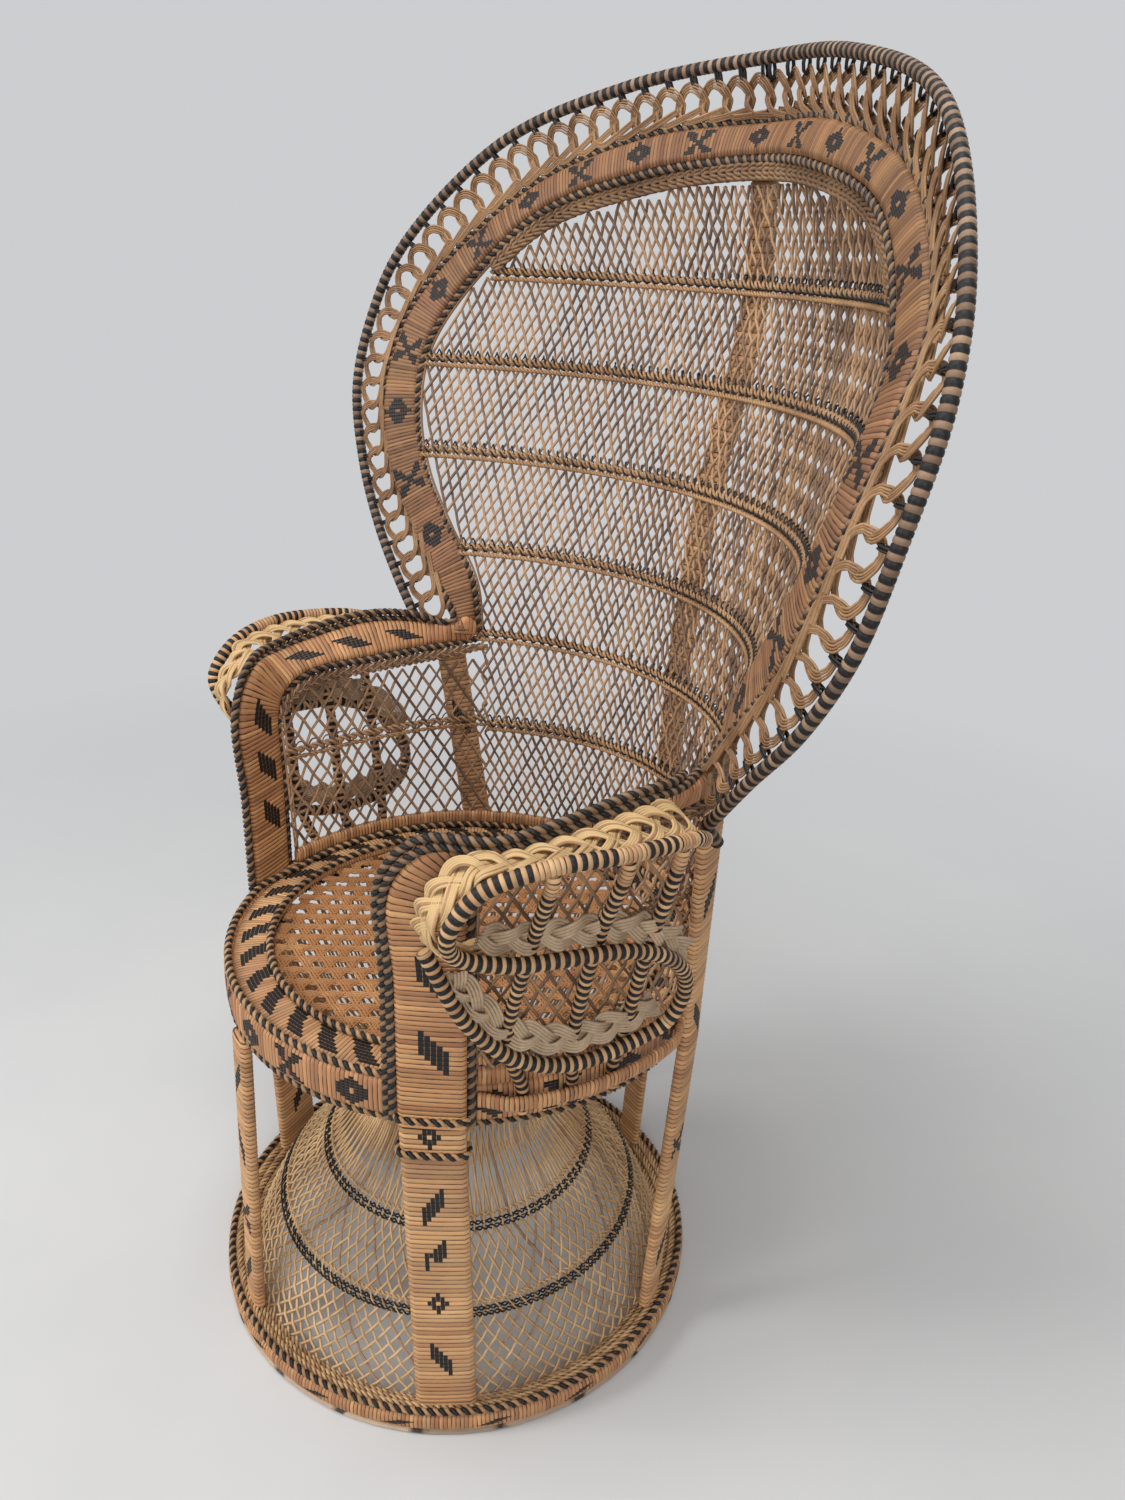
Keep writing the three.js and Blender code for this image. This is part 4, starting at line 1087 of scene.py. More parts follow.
def even_marks(ring: Line, pitch: float, count: int, kinds: Sequence[Figure]) -> Marks:
    """Turn numbers and figures by turns, spread evenly round a closed band of a pitch."""
    turns = round(lengths_along(closed_up(ring))[-1] / pitch)
    return [((k + 0.5) * turns / count, kinds[k % len(kinds)]) for k in range(count)]


@dataclass
class WoundBoard:
    """A flat band wound with cane, along a line."""

    name: str
    middles: Line
    across: Array
    half_width: Array
    half_depth: float = 0.006
    pitch: float = 0.0045
    relief: float = 0.001
    cells: int = 12
    finish: WoundCane = WRAP
    closed: bool = False
    ink: Callable = plain
    corner: float = 0.0035
    corner_share: float = 0.7
    lip: float = 0.45
    hollow: float = 0.12

    def sections(self, middles: Line, across: Array, half: Array,
                 rise: Array) -> Array:
        """Flat sections with rounded edges, the front's strips first.

        Args:
            middles: the middle of each section.
            across: the direction of its width.
            half: half its width.
            rise: how far the wound cane stands proud at each.

        Returns:
            Points by station and place round the section.
        """
        along = directions(middles)
        if self.closed:
            along[0] = along[-1] = unit(middles[1] - middles[0] + middles[-1] - middles[-2])
        face = unit(np.cross(along, across))
        across = np.cross(face, along)
        share = np.linspace(-1, 1, self.cells + 1)
        lip = np.array([self.lip, -self.lip])
        flat = (half - min(self.corner, self.half_depth * self.corner_share))[:, None] * share
        wide = (half + rise)[:, None] * [1, 1]
        deep = (self.half_depth + rise)[:, None]
        crown = 1 - self.hollow * share**2
        x = np.hstack([flat, wide, -flat, -wide])
        y = np.hstack([deep * crown, deep * lip, -deep * crown, -deep * lip])
        return middles[:, None] + across[:, None] * x[..., None] + face[:, None] * y[..., None]

    def make(self, shop: Workshop, *nodes: str, slot: Slot = Slot.WRAP) -> None:
        """Makes the band and fixes it to the chair.

        Args:
            shop: finishes the piece.
            nodes: the CAD nodes that it replaces.
            slot: where the record keeps its finish.
        """
        path = closed_up(self.middles, self.closed)
        own = lengths_along(path)
        winding = Winding(own[-1], self.pitch, self.relief)
        where = winding.lengths
        middles = at_lengths(path, where)
        widths = np.broadcast_to(self.half_width, len(self.middles)).astype(float)
        guides = closed_up(np.broadcast_to(self.across, self.middles.shape), self.closed)
        if self.closed:
            widths = np.append(widths, widths[0])
        across = unit(at_lengths(guides, where, own))
        half = np.interp(where, own, widths)
        sections = self.sections(middles, across, half, winding.rise)
        mesh = winding.mesh(self.name, sections, self.closed, self.ink)
        mesh.materials.append(self.finish.material())
        shop.fix(mesh, self.name, slot, nodes)


@dataclass
class WoundPole:
    """A pole wound with black and natural cane by turns."""

    name: str
    line: Line
    outward: Array
    radius: float = 0.0062
    pitch: float = 0.0044
    relief: float = 0.0009
    sides: int = 12
    bare_spans: tuple = ()
    finish: WoundCane = POLE_WRAP

    def make(self, shop: Workshop, *nodes: str) -> None:
        """Makes the pole and fixes it to the chair.

        Args:
            shop: finishes the piece.
            nodes: the CAD nodes that it replaces.
        """
        own = lengths_along(self.line)
        winding = Winding(own[-1], self.pitch, self.relief)
        middles = at_lengths(self.line, winding.lengths)
        guide = at_lengths(self.outward, winding.lengths, own)
        side, out = frames(middles, guide)
        turn = np.arange(self.sides) / self.sides * FULL_TURN
        round_out = out[:, None, :] * np.cos(turn)[None, :, None]
        round_side = side[:, None, :] * np.sin(turn)[None, :, None]
        reach = (self.radius + winding.rise)[:, None, None]
        sections = middles[:, None, :] + (round_out + round_side) * reach
        scale = own[-1] / winding.turns

        def ink(turns: Array, places: Array) -> Array:
            """Tells where the black cane lies: on every other turn outside the bare spans.

            Args:
                turns: the faces' turn numbers.
                places: their places round the section.

            Returns:
                1 where a face is black, 0 elsewhere.
            """
            dark = np.floor(turns) % 2 == 1
            for start, end in self.bare_spans:
                dark &= ~((turns * scale >= start) & (turns * scale <= end))
            return dark.astype(float)

        mesh = winding.mesh(self.name, sections, False, ink)
        mesh.materials.append(self.finish.material())
        shop.fix(mesh, self.name, Slot.POLE, nodes)


# Sub-assemblies


@dataclass
class Assembly:
    """A sub-assembly, which makes its pieces in the shop along the chair's lines."""

    shop: Workshop
    lines: ChairLines

    def rope_ring(self, name: str, node: str, rope: Rope, line: Line) -> None:
        """Makes a two-tone rope round a ring.

        Args:
            name: the piece's name.
            node: the CAD node that it replaces.
            rope: the rope.
            line: its middle.
        """
        canes = Canes(name, (BLACK, NATURAL))
        rope.lay(canes, line, UP, (0, 1), closed=True)
        canes.finish(self.shop, Slot.BRAID, node)


@dataclass
class Bands(Assembly):
    """The wound band from post to post, with its two-tone ropes."""

    rope: Rope = Rope(pitch=0.0125, strand=0.0025, offset=0.0024)
    rope_out: tuple = (0.3, 1.0, 0.2)
    second_shift: tuple = (0.007, 0.0062)
    doubled: float = 0.93
    edge_cover: float = 0.0015
    least_sine: float = 0.4
    back_pitch: float = 0.0045
    back_cells: int = 12
    arm_pitch: float = 0.0055
    arm_cells: int = 10
    end_overlap: float = 0.007
    end_taper: float = 0.45
    plain_end: float = 0.1
    first_figure: float = 0.1365
    figure_pitch: float = 0.0815
    top_figures: int = 3
    right_figures: tuple = (0.088, 0.17, 0.356, 0.425, 0.497)
    left_figures: tuple = (0.12, 0.185, 0.246, 0.356, 0.425, 0.497)

    def strip(self, inner: Line, outer: Line) -> tuple[Line, Array, Array]:
        """Fits a band between two braids.

        Args:
            inner: the inner braid's line.
            outer: the outer braid's line.

        Returns:
            The band's middle, the direction across it and half its width.
        """
        across = unit(outer - inner)
        insets = []
        for edge in (inner, outer):
            sine = np.linalg.norm(np.cross(directions(edge), across), axis=1)
            insets.append(self.lines.band_inset / np.maximum(sine, self.least_sine))
        first = inner + across * insets[0][:, None]
        last = outer - across * insets[1][:, None]
        half = np.linalg.norm(last - first, axis=1) / 2 + self.edge_cover
        return (first + last) / 2, across, half

    def back(self) -> None:
        """The band over the back's crown."""
        middle, across, half = self.strip(self.lines.back_inner, self.lines.back_outer)
        length = lengths_along(middle)[-1]
        ends = unit(middle[[0, -1]] - middle[[1, -2]]) * self.end_overlap
        middle = np.vstack([middle[:1] + ends[:1], middle, middle[-1:] + ends[1:]])
        across = np.vstack([across[:1], across, across[-1:]])
        half = np.concatenate([half[:1], half, half[-1:]])
        places = np.arange(self.first_figure, length - self.plain_end, self.figure_pitch)
        kinds = (Figure.CROSS, Figure.STAIR)
        marks = [(place / self.back_pitch, kinds[k % 2]) for k, place in enumerate(places)]
        # the back's band takes the darker wound cane, which is painted shade
        WoundBoard(
            "back_band_cane", middle, across, half, pitch=self.back_pitch, cells=self.back_cells,
            ink=Inlay(self.back_cells, marks), finish=SHADED_BACK_WRAP,
        ).make(self.shop, "back_band")

    def arm(self, side: str, figures: Sequence[float]) -> None:
        """The band on one arm, from the apron up the post and back to the joint.

        Args:
            side: right or left.
            figures: how far along the band the figures' middles lie.
        """
        inner, outer = self.lines.arm_inner, self.lines.arm_outer
        if side == "left":
            inner, outer = mirrored(inner), mirrored(outer)
        middle, across, half = self.strip(inner, outer)
        end = middle[-1] + unit(middle[-1] - middle[-2]) * self.end_overlap
        middle = np.vstack([middle, end - across[-1] * half[-1] * self.end_taper])
        across = np.vstack([across, across[-1:]])
        half = np.append(half, half[-1] * (1 - self.end_taper))
        kinds = [Figure.TALL_SLANT] * len(figures)
        kinds[-self.top_figures :] = [Figure.TALL_BACKSLANT] * self.top_figures
        marks = [(place / self.arm_pitch, kind) for place, kind in zip(figures, kinds)]
        WoundBoard(
            f"arm_band_cane_{side}", middle, across, half, pitch=self.arm_pitch,
            cells=self.arm_cells, ink=Inlay(self.arm_cells, marks),
        ).make(self.shop, f"arm_band_{side}")

    def make(self) -> None:
        """Makes the three bands and the two ropes."""
        at = self.lines
        self.back()
        self.arm("right", self.right_figures)
        self.arm("left", self.left_figures)
        for name, arm, back in (
            ("inner", at.arm_inner, at.back_inner), ("outer", at.arm_outer, at.back_outer)
        ):
            line = np.vstack([mirrored(arm)[:-1], back, arm[:-1][::-1]])
            ropes = Canes(f"{name}_rope", (BLACK, DIM), 1)
            self.rope.lay(ropes, line, self.rope_out, (0, 1))
            if name == "outer":
                self.second_rope(ropes)
            ropes.finish(self.shop, Slot.BRAID, f"{name}_braid")

    def second_rope(self, ropes: Canes) -> None:
        """The rope laid beside the outer one, up each post and over the arm.

        Args:
            ropes: the piece that it joins.
        """
        inner, outer = self.lines.arm_inner, self.lines.arm_outer
        stop = int(len(outer) * self.doubled)
        across = unit(outer - inner)
        back = unit(np.cross(directions(outer), across))
        beside = outer + across * self.second_shift[0] - back * self.second_shift[1]
        for line in (beside[:stop], mirrored(beside[:stop])):
            self.rope.lay(ropes, line, self.rope_out, (0, 1))


@dataclass
class HoopAndRings(Assembly):
    """The striped hoop and the chain of coiled rings inside it."""

    pole_radius: float = 0.0056
    pole_pitch: float = 0.0056
    ring_pitch: float = 0.0305
    ring_half: float = 0.0205
    ring_gap: float = 0.0065
    ring_wave: float = 0.003
    ring_turn: tuple = (-54, 234, 13)
    ring_steps: int = 60
    foot_share: float = 0.06
    neck: float = 0.012
    neck_rise: float = 0.0015
    tail: float = 0.038
    tail_share: float = 0.6
    tail_drop: float = 0.0005
    tail_level: float = 1.2
    ply: float = 0.0013
    plies: int = 4
    ply_start: float = 0.3
    ply_step: float = 1.95
    ply_level: float = 0.0003
    spread: tuple = ((0.0, 0.16, 0.3, 0.7, 0.84, 1.0), (0.55, 0.6, 1, 1, 0.6, 0.55))
    tie: float = 0.0013
    tie_loop: tuple = (0.0098, 0.0034)
    tie_gap: float = 0.006
    tie_share: float = 0.5
    hoop_share: float = 0.55
    chain_start: float = 0.02
    chain_spare: float = 0.03

    def make(self) -> None:
        """Makes the hoop and the chain."""
        at = self.lines
        outward = unit(at.hoop - at.back_outer)
        line = np.vstack([mirrored(at.hoop_end), at.hoop, at.hoop_end])
        guide = np.vstack([outward[:1], outward, outward[-1:]])
        WoundPole(
            "hoop_pole", line, guide, radius=self.pole_radius, pitch=self.pole_pitch,
            finish=HOOP_WRAP,
        ).make(self.shop, "hoop")
        rings = Canes("ring_canes", (RING, RING_PALE, BLACK))
        middle = at.back_outer * (1 - self.hoop_share) + at.hoop * self.hoop_share
        own = lengths_along(middle)
        way = directions(middle)
        room = own[-1] - self.chain_spare
        count = round(room / self.ring_pitch)
        for k in range(count):
            where = np.array([self.chain_start + (k + 0.5) * room / count])
            inner = at_lengths(at.back_outer, where, own)[0]
            outer = at_lengths(at.hoop, where, own)[0]
            across = unit(outer - inner)
            tangent = at_lengths(way, where, own)[0]
            tangent = unit(tangent - across * (tangent @ across))
            if where[0] > own[-1] / 2:
                tangent = -tangent
            axes = np.array([tangent, across, np.cross(tangent, across)])
            tail = min(self.tail, self.tail_share * min(where[0], own[-1] - where[0]))
            self.ring(rings, inner, np.linalg.norm(outer - inner), axes, tail, k)
        rings.finish(self.shop, Slot.PALE, "ring_chain")

    def ring(self, rings: Canes, foot: Array, room: float, axes: Array, tail: float,
             k: int) -> None:
        """One coiled ring of a few plies, with its two tails beside the braid and its black tie.

        Args:
            rings: the piece that it joins.
            foot: the place on the outer braid's line below the ring.
            room: from there to the hoop's line.
            axes: along the chain, towards the hoop and towards the front.
            tail: how far the tail towards the chain's end reaches.
            k: the ring's number.
        """
        low = self.foot_share * room
        top = room - self.pole_radius - self.ring_gap
        centre, tall = (top + low) / 2, (top - low) / 2
        turn = np.radians(np.linspace(*self.ring_turn))
        round_part = zip(
            self.ring_half * np.cos(turn), centre + tall * np.sin(turn), np.sin(2 * turn)
        )
        level, drop, rise = self.tail_level, self.tail_drop, self.neck_rise
        coil = [(-tail, -drop, -level), (-self.neck, rise, -level), *round_part]
        coil += [(self.neck, rise, level), (self.tail, -drop, level)]
        path = smooth_line(coil, self.ring_steps)
        ahead = np.gradient(path[:, :2], axis=0)
        ahead /= np.linalg.norm(ahead, axis=1, keepdims=True)
        inward = np.column_stack([-ahead[:, 1], ahead[:, 0]])
        share = np.linspace(0, 1, len(path))
        spread = np.interp(share, *self.spread)
        for ply in range(self.plies):
            inset = spread * self.ply * (self.ply_start + self.ply_step * ply)
            flat = path[:, :2] + inward * inset[:, None]
            height = path[:, 2] * self.ring_wave + self.ply_level * ply
            rings.lay(foot + np.column_stack([flat, height]) @ axes, self.ply, (k + ply) % 2)
        lean = self.ring_half * self.tie_share
        tie = foot + axes[0] * lean + axes[1] * (room - self.pole_radius - self.tie_gap)
        turn = round_turns(8)
        tall, wide = self.tie_loop
        loop = np.outer(np.cos(turn) * tall, axes[1]) + np.outer(np.sin(turn) * wide, axes[2])
        for shift in (-self.tie, self.tie):
            rings.lay(tie + loop + axes[0] * shift, self.tie, 2, closed=True)


@dataclass(frozen=True)
class Weave:
    """Crossed canes on a wall, over and under each other."""

    pitch: float = 0.0128
    slope: float = 0.5
    radius: float = 0.0018
    lift: float = 0.0014
    dark_share: float = 0.42

    def lay(self, canes: Canes, wall: Wall, inside: Callable, reach: float, low: float, high: float,
            chance: np.random.Generator) -> None:
        """Lays both ways of canes.

        Args:
            canes: the piece that they become part of.
            wall: gives places by length, height and depth.
            inside: tells which lengths and heights lie inside the wall's border.
            reach: half the wall's greatest width.
            low: the wall's foot.
            high: the wall's top.
            chance: picks the tones.
        """
        rise = self.pitch / (2 * self.slope)
        count = int((high - low) / rise) + 1
        lines = math.ceil((reach + self.slope * (high - low)) / self.pitch)
        for way in (1, -1):
            for k in range(-lines, lines + 1):
                steps = np.arange(count + 1)
                z = low + steps * rise
                s = way * (k * self.pitch + self.slope * (z - low))
                kept = inside(s, z)
                over = np.where((steps + k) % 2 == 0, 1.0, -1.0) * way * self.lift
                points = wall(s, z, over)
                # a share of the canes takes the second finish, which on the walls is the painted
                # shade copy of the lattice cane
                tone = int(chance.random() < self.dark_share)
                changes = np.flatnonzero(np.diff(np.concatenate([[0], kept, [0]])))
                for start, end in changes.reshape(-1, 2):
                    canes.lay(points[start:end], self.radius, tone)


@dataclass(frozen=True)
class Twine:
    """One rope of a twined row, and where it runs on the row."""

    strands: int
    strand: float
    offset: float
    rise: float
    depth: float
    colour: int
    pitch_share: float = 1.0


@dataclass
class TwinedRow:
    """A level row twined round the canes: black hooks, natural beads, black dots and a rope."""

    pitch: float = 0.0128
    points: int = 80
    twines: tuple[Twine, ...] = (
        Twine(1, 0.0011, 0.0042, 0.0068, 0.0, 0),
        Twine(2, 0.0019, 0.003, 0.0012, -0.001, 1),
        Twine(1, 0.0012, 0.0038, -0.0002, -0.002, 0),
        Twine(2, 0.0017, 0.0016, -0.0074, -0.003, 1, 0.8),
    )

    def lay(self, canes: Canes, place: Callable, half_length: float) -> None:
        """Lays the row.

        Args:
            canes: the piece that it joins.
            place: gives places by length, height above the row's middle and depth.
            half_length: how far it reaches to each side.
        """
        s = np.linspace(-half_length, half_length, self.points)
        facing = place(s, 0.0, 0.01) - place(s, 0.0, 0.0)
        for twine in self.twines:
            Rope(self.pitch * twine.pitch_share, twine.strand, twine.offset, twine.strands).lay(
                canes, place(s, twine.rise, twine.depth), facing, (twine.colour,)
            )


@dataclass
class BackWall(Assembly):
    """The woven wall of the back, its border, foot rail and rows."""

    chance: np.random.Generator
    plait: Plait = Plait(width=0.0185, depth=0.008, pitch=0.046, plies=2, ply=0.0021, bundles=4)
    border_gap: float = 0.0018
    border_depth: float = -0.002
    border_change: tuple = (-0.006, 0.012)
    thin_border: float = 0.004
    cane_share: float = 0.7
    edge_cane: float = 0.0016
    edge_steps: tuple = (0.5, 2.6)
    edge_depth: float = -0.001
    overlap: float = 0.002
    joint_drop: float = 0.008
    rail_depth: float = 0.004
    row_ends: tuple = (-0.005, 0.002)

    def border(self, z: Array) -> Array:
        """The border's width at heights: wide above the top row, narrow below it."""
        change = self.lines.rows[-1] + np.array(self.border_change)
        return np.interp(z, change, [self.thin_border, self.plait.width])

    def make(self) -> None:
        """Makes the wall's pieces."""
        at = self.lines
        joint = at.back_inner[0][2]
        limit = at.inside_edge(lambda z: self.border_gap + self.border(z) * self.cane_share)

        def reach(z: Array) -> Array:
            """How far the canes reach to each side at a height."""
            low = at.wall_arc(np.minimum(z, joint))[2] + self.overlap
            return np.where(z < joint - self.joint_drop, low, np.interp(z, *limit.T[::-1]))

        def inside(s: Array, z: Array) -> Array:
            """Inside the border, and below the arms' joints as far as the arms' walls."""
            return (np.abs(s) <= reach(z)) & (z <= limit[-1, 1])

        # the second finish is the painted shade copy of the lattice cane
        canes = Canes("back_canes", (LATTICE_LIGHT, LATTICE_SHADED))
        rail = at.foot_rail_low + at.rail_half
        Weave().lay(canes, at.back_wall, inside, limit[:, 0].max(), rail, at.crown[2], self.chance)
        canes.finish(self.shop, Slot.CANE, "back_lattice")
        edge = Canes("back_border", (BORDER, DIM), 1)
        border = at.inside_edge(lambda z: self.border_gap + self.border(z) / 2)
        border = border[border[:, 1] > at.rows[-1]]
        whole = np.vstack([border * [-1, 1], border[:-1][::-1]])
        line = at.back_wall(*whole.T, self.border_depth)
        facing = at.back_wall(*whole.T, self.border_depth - 0.01) - line
        self.plait.lay(edge, line, facing, (0, 1))
        for step in self.edge_steps:
            inset = self.border_gap + self.edge_cane * step
            near = at.inside_edge(lambda z, inset=inset: np.full(len(z), inset))
            near = near[near[:, 1] > joint - self.joint_drop]
            for way in (-1, 1):
                places = at.back_wall(near[:, 0] * way, near[:, 1], self.edge_depth)
                edge.lay(places, self.edge_cane)
        edge.finish(self.shop, Slot.CANE)
        half = at.wall_arc(np.array(at.foot_rail_low))[2]
        middle = at.back_wall(np.linspace(-half, half, 60), rail)
        WoundBoard(
            "back_foot_rail", middle, UP, at.rail_half, self.rail_depth, cells=4
        ).make(self.shop)
        rows = Canes("back_rows", (BLACK, NATURAL))
        for height in at.rows:
            TwinedRow().lay(
                rows,
                lambda s, up, deep, h=height: at.back_wall(s, h + up, deep),
                float(reach(np.array(height))) + self.row_ends[int(height > joint)],
            )
        rows.finish(self.shop, Slot.TWINE, *(f"back_row_{i}" for i in range(1, 7)))


@dataclass
class ArmWalls(Assembly):
    """The woven walls of the arms, below the bands."""

    chance: np.random.Generator
    weave: Weave = Weave(pitch=0.0185, slope=0.62, radius=0.0019, lift=0.0016)
    plait: Plait = Plait(width=0.016, depth=0.007, pitch=0.034, plies=2, ply=0.0016, bundles=4)
    top_gap: float = 0.003
    end_gap: float = 0.0005
    overlap: float = 0.003
    foot_bulge: float = 0.004
    cane_share: float = 0.75
    border_depth: float = -0.001
    border_overlap: float = 0.001
    end_swing: float = 0.1
    edge_cane: float = 0.0018
    edge_steps: tuple = (0.0, 0.0036)
    rail_depth: float = 0.004
    points: int = 30

    def make(self) -> None:
        """Makes both arms' walls."""
        at = self.lines
        circle = at.seat_radius + SEAM + at.band_thickness / 2
        front = at.post_turn + (at.post_width / 2 + at.band_inset + self.end_gap) / circle
        back = at.joint_turn - self.end_gap / at.wall_radius
        path = at.arm_inner[len(at.arm_inner) // 3 :]
        turns = np.arctan2(path[:, 0], at.seat_set_back - path[:, 1])
        radii = np.hypot(path[:, 0], path[:, 1] - at.seat_set_back)

        def wall(s: Array, z: Array, depth: float, way: int) -> Array:
            """Places on an arm's wall.

            Args:
                s: the length round the seat, from the front.
                z: the height.
                depth: how far outside the wall.
                way: 1 for the right arm, -1 for the left one.

            Returns:
                The places.
            """
            turn = np.asarray(s, float) / at.wall_radius
            top = np.interp(turn, turns, path[:, 2])
            share = (z - at.seat_height) / (top - at.seat_height)
            ahead = np.clip((back - turn) / (back - front), 0, 1)
            low = at.wall_radius + self.foot_bulge * ahead
            radius = low + share * (np.interp(turn, turns, radii) - low)
            places = at.seat_place(radius + depth, turn, z)
            return places if way > 0 else mirrored(places)

        middle = (front + back) / 2 * at.wall_radius
        half = (back - front) / 2 * at.wall_radius
        inset = self.plait.width / 2
        clear = self.top_gap + self.plait.width * self.cane_share

        def inside(s: Array, z: Array) -> Array:
            """Inside the middle of the top's border."""
            top = np.interp((s + middle) / at.wall_radius, turns, path[:, 2]) - clear
            return (np.abs(s) <= half + self.overlap) & (z <= top)

        s = np.linspace(middle - half, middle + half + self.border_overlap, self.points)
        top = np.interp(s / at.wall_radius, turns, path[:, 2]) - self.top_gap - inset
        swing = np.interp(s, s[[0, -5, -1]], (1.0, 1.0, self.end_swing))
        rail = at.foot_rail_low + at.rail_half
        edge = np.linspace(rail, top[0], 20)
        for name, way in (("right", 1), ("left", -1)):
            def place(s: Array, z: Array, depth: float, way: int = way) -> Array:
                """A place on this side's wall, by length from its middle."""
                return wall(np.asarray(s) + middle, z, depth, way)

            # the second finish is the painted shade copy of the lattice cane
            canes = Canes(f"arm_canes_{name}", (LATTICE_LIGHT, LATTICE_SHADED))
            self.weave.lay(canes, place, inside, half, rail, at.arm_height, self.chance)
            line = wall(s, top, self.border_depth, way)
            self.plait.lay(canes, line, line - wall(s, top, 0.01, way), (0, 1), swing)
            for step in self.edge_steps:
                places = wall(np.full(len(edge), s[0] + step), edge, 0.0, way)
                canes.lay(places, self.edge_cane)
            canes.finish(self.shop, Slot.CANE, f"arm_lattice_{name}")
            WoundBoard(
                f"arm_foot_rail_{name}", wall(s, np.full(self.points, rail), 0.0, way), UP,
                at.rail_half, self.rail_depth, cells=4,
            ).make(self.shop)
            # the row's dark strands take the painted shade copy of the lattice cane
            row = Canes(f"arm_row_{name}_cane", (LATTICE_SHADED, NATURAL))
            TwinedRow(pitch=self.weave.pitch).lay(
                row, lambda s, up, deep: place(s, at.rows[0] + up, deep), half
            )
            row.finish(self.shop, Slot.TWINE, f"arm_row_{name}")


@dataclass
class Scrolls(Assembly):
    """The striped scroll outside each arm, with its spokes and plaits."""

    radius: float = 0.0066
    outer_shares: tuple = (
        (0.1606, 0.267, 0.948), (0.3599, 0.128, 0.99), (0.4138, -0.085, 1.004),
        (0.3552, -0.28, 1.003), (0.2661, -0.426, 0.979), (0.2239, -0.494, 0.933),
        (0.1559, -0.455, 0.885), (0.1981, -0.327, 0.862), (0.2567, -0.17, 0.857),
        (0.2872, -0.028, 0.85), (0.2825, 0.1, 0.824), (0.238, 0.2, 0.775),
        (0.1981, 0.222, 0.729), (0.17, 0.188, 0.692),
    )
    lower_shares: tuple = (
        (0.1418, 0.1, 0.672), (0.1114, -0.1, 0.664), (0.0551, -0.256, 0.69),
        (-0.0246, -0.375, 0.75), (-0.1207, -0.464, 0.85),
    )
    span_steps: int = 12
    nose_spans: tuple = (5, 6)
    spoke_depths: tuple = (-0.27, -0.085, 0.085)
    spoke_radius: float = 0.0056
    spoke_gaps: tuple = (0.0073, 0.006)
    spoke_behind: float = 0.0143
    spoke_end: float = 0.012
    spoke_steps: int = 40
    bare_half: float = 0.012
    bare_end: tuple = (0, 0.02)
    arm_plait: Plait = Plait(depth=0.0062, pitch=0.094, plies=5, ply=0.0015, bundles=4, steps=36)
    arm_depths: tuple = (0.19, -0.4, 12)
    arm_margin: float = 0.01
    arm_drop: float = 0.003
    arm_steps: int = 110
    arm_swing: tuple = ((0, 66, 84, 109), (1.0, 1.0, 0.62, 0.5))
    nose_share: float = 0.55
    nose_places: tuple = (58, 65, 72, 79, 86, 94)
    nose_inset: float = 0.3
    nose_rises: tuple = (0.004, 0.01, 0.002)
    inner_plait: Plait = Plait(depth=0.009, pitch=0.085, plies=4, ply=0.0017, steps=22)
    inner_shift: float = 0.006
    inner_spans: tuple = ((6, -20, 0.032, 0.022), (4, -8, 0.034, 0.026))

    def __post_init__(self) -> None:
        """Works out the scroll's line and its stretches."""
        places = self.lines.beside_seat(self.outer_shares + self.lower_shares)
        path = smooth_line(places, (len(places) - 1) * self.span_steps)
        end = (len(self.outer_shares) - 1) * self.span_steps
        self.outer, self.lower = path[: end + 1], path[end:]
        self.upper = path[: self.nose_spans[0] * self.span_steps]
        self.middle = path[self.nose_spans[1] * self.span_steps : end]

    def outward(self, points: Line) -> Array:
        """Level directions away from the seat's middle."""
        away = points - np.array([0, self.lines.seat_set_back, 0])
        return unit(away * [1, 1, 0])

    @staticmethod
    def at_depth(points: Line, y: float) -> Array:
        """Finds where a line first reaches a depth.

        Args:
            points: the line.
            y: the depth.

        Returns:
            The place.
        """
        above = points[:, 1] - y
        i = int(np.argmax(above[:-1] * above[1:] <= 0))
        share = above[i] / (above[i] - above[i + 1])
        return points[i] + share * (points[i + 1] - points[i])

    def make(self) -> None:
        """Makes both arms' scrolls."""
        spokes = [self.spoke(share) for share in self.spoke_depths]
        own = lengths_along(self.upper)
        tops = [own[np.argmin(np.linalg.norm(self.upper - line[0], axis=1))] for line in spokes]
        spans = tuple((top - self.bare_half, top + self.bare_half) for top in tops)
        bare = (*spans, self.bare_end)
        poles = [
            ("scroll_pole_{}", "scroll_rail_{}", self.outer, self.radius, bare),
            ("lower_pole_{}", "lower_rail_{}", self.lower, self.radius, ()),
        ]
        for i, line in enumerate(spokes, 1):
            names = (f"spoke_{{}}_{i}", f"arm_spoke_{{}}_{i}")
            poles.append((*names, line, self.spoke_radius, (self.bare_end,)))
        for name, flipped in (("right", False), ("left", True)):
            def side(points: Array, flipped: bool = flipped) -> Array:
                """Points of this side."""
                return mirrored(points) if flipped else points

            for piece, node, line, radius, bare in poles:
                outward = side(self.outward(line))
                WoundPole(
                    piece.format(name), side(line), outward, radius=radius, bare_spans=bare
                ).make(self.shop, node.format(name))
            self.plaits(name, side)

    def spoke(self, share: float) -> Line:
        """A spoke's line, from the outer rail behind the middle and lower rails to the apron.

        Args:
            share: its depth, as a share of the crown's.

        Returns:
            The line, from its top.
        """
        at = self.lines
        y = share * at.crown_depth
        top = self.at_depth(self.upper, y)
        end = top - UP * self.spoke_gaps[0]
        places = [end, end - UP * self.spoke_gaps[1]]
        for stretch in (self.middle, self.lower):
            rail = self.at_depth(stretch, y)
            places.append(rail - self.outward(rail[None])[0] * self.spoke_behind)
        turn = math.atan2(top[0], at.seat_set_back - y)
        for height in (at.seat_height, at.apron_low + self.spoke_end):
            places.append(at.seat_place(at.seat_radius + at.post_stand_off, turn, height))
        return smooth_line(places, self.spoke_steps)

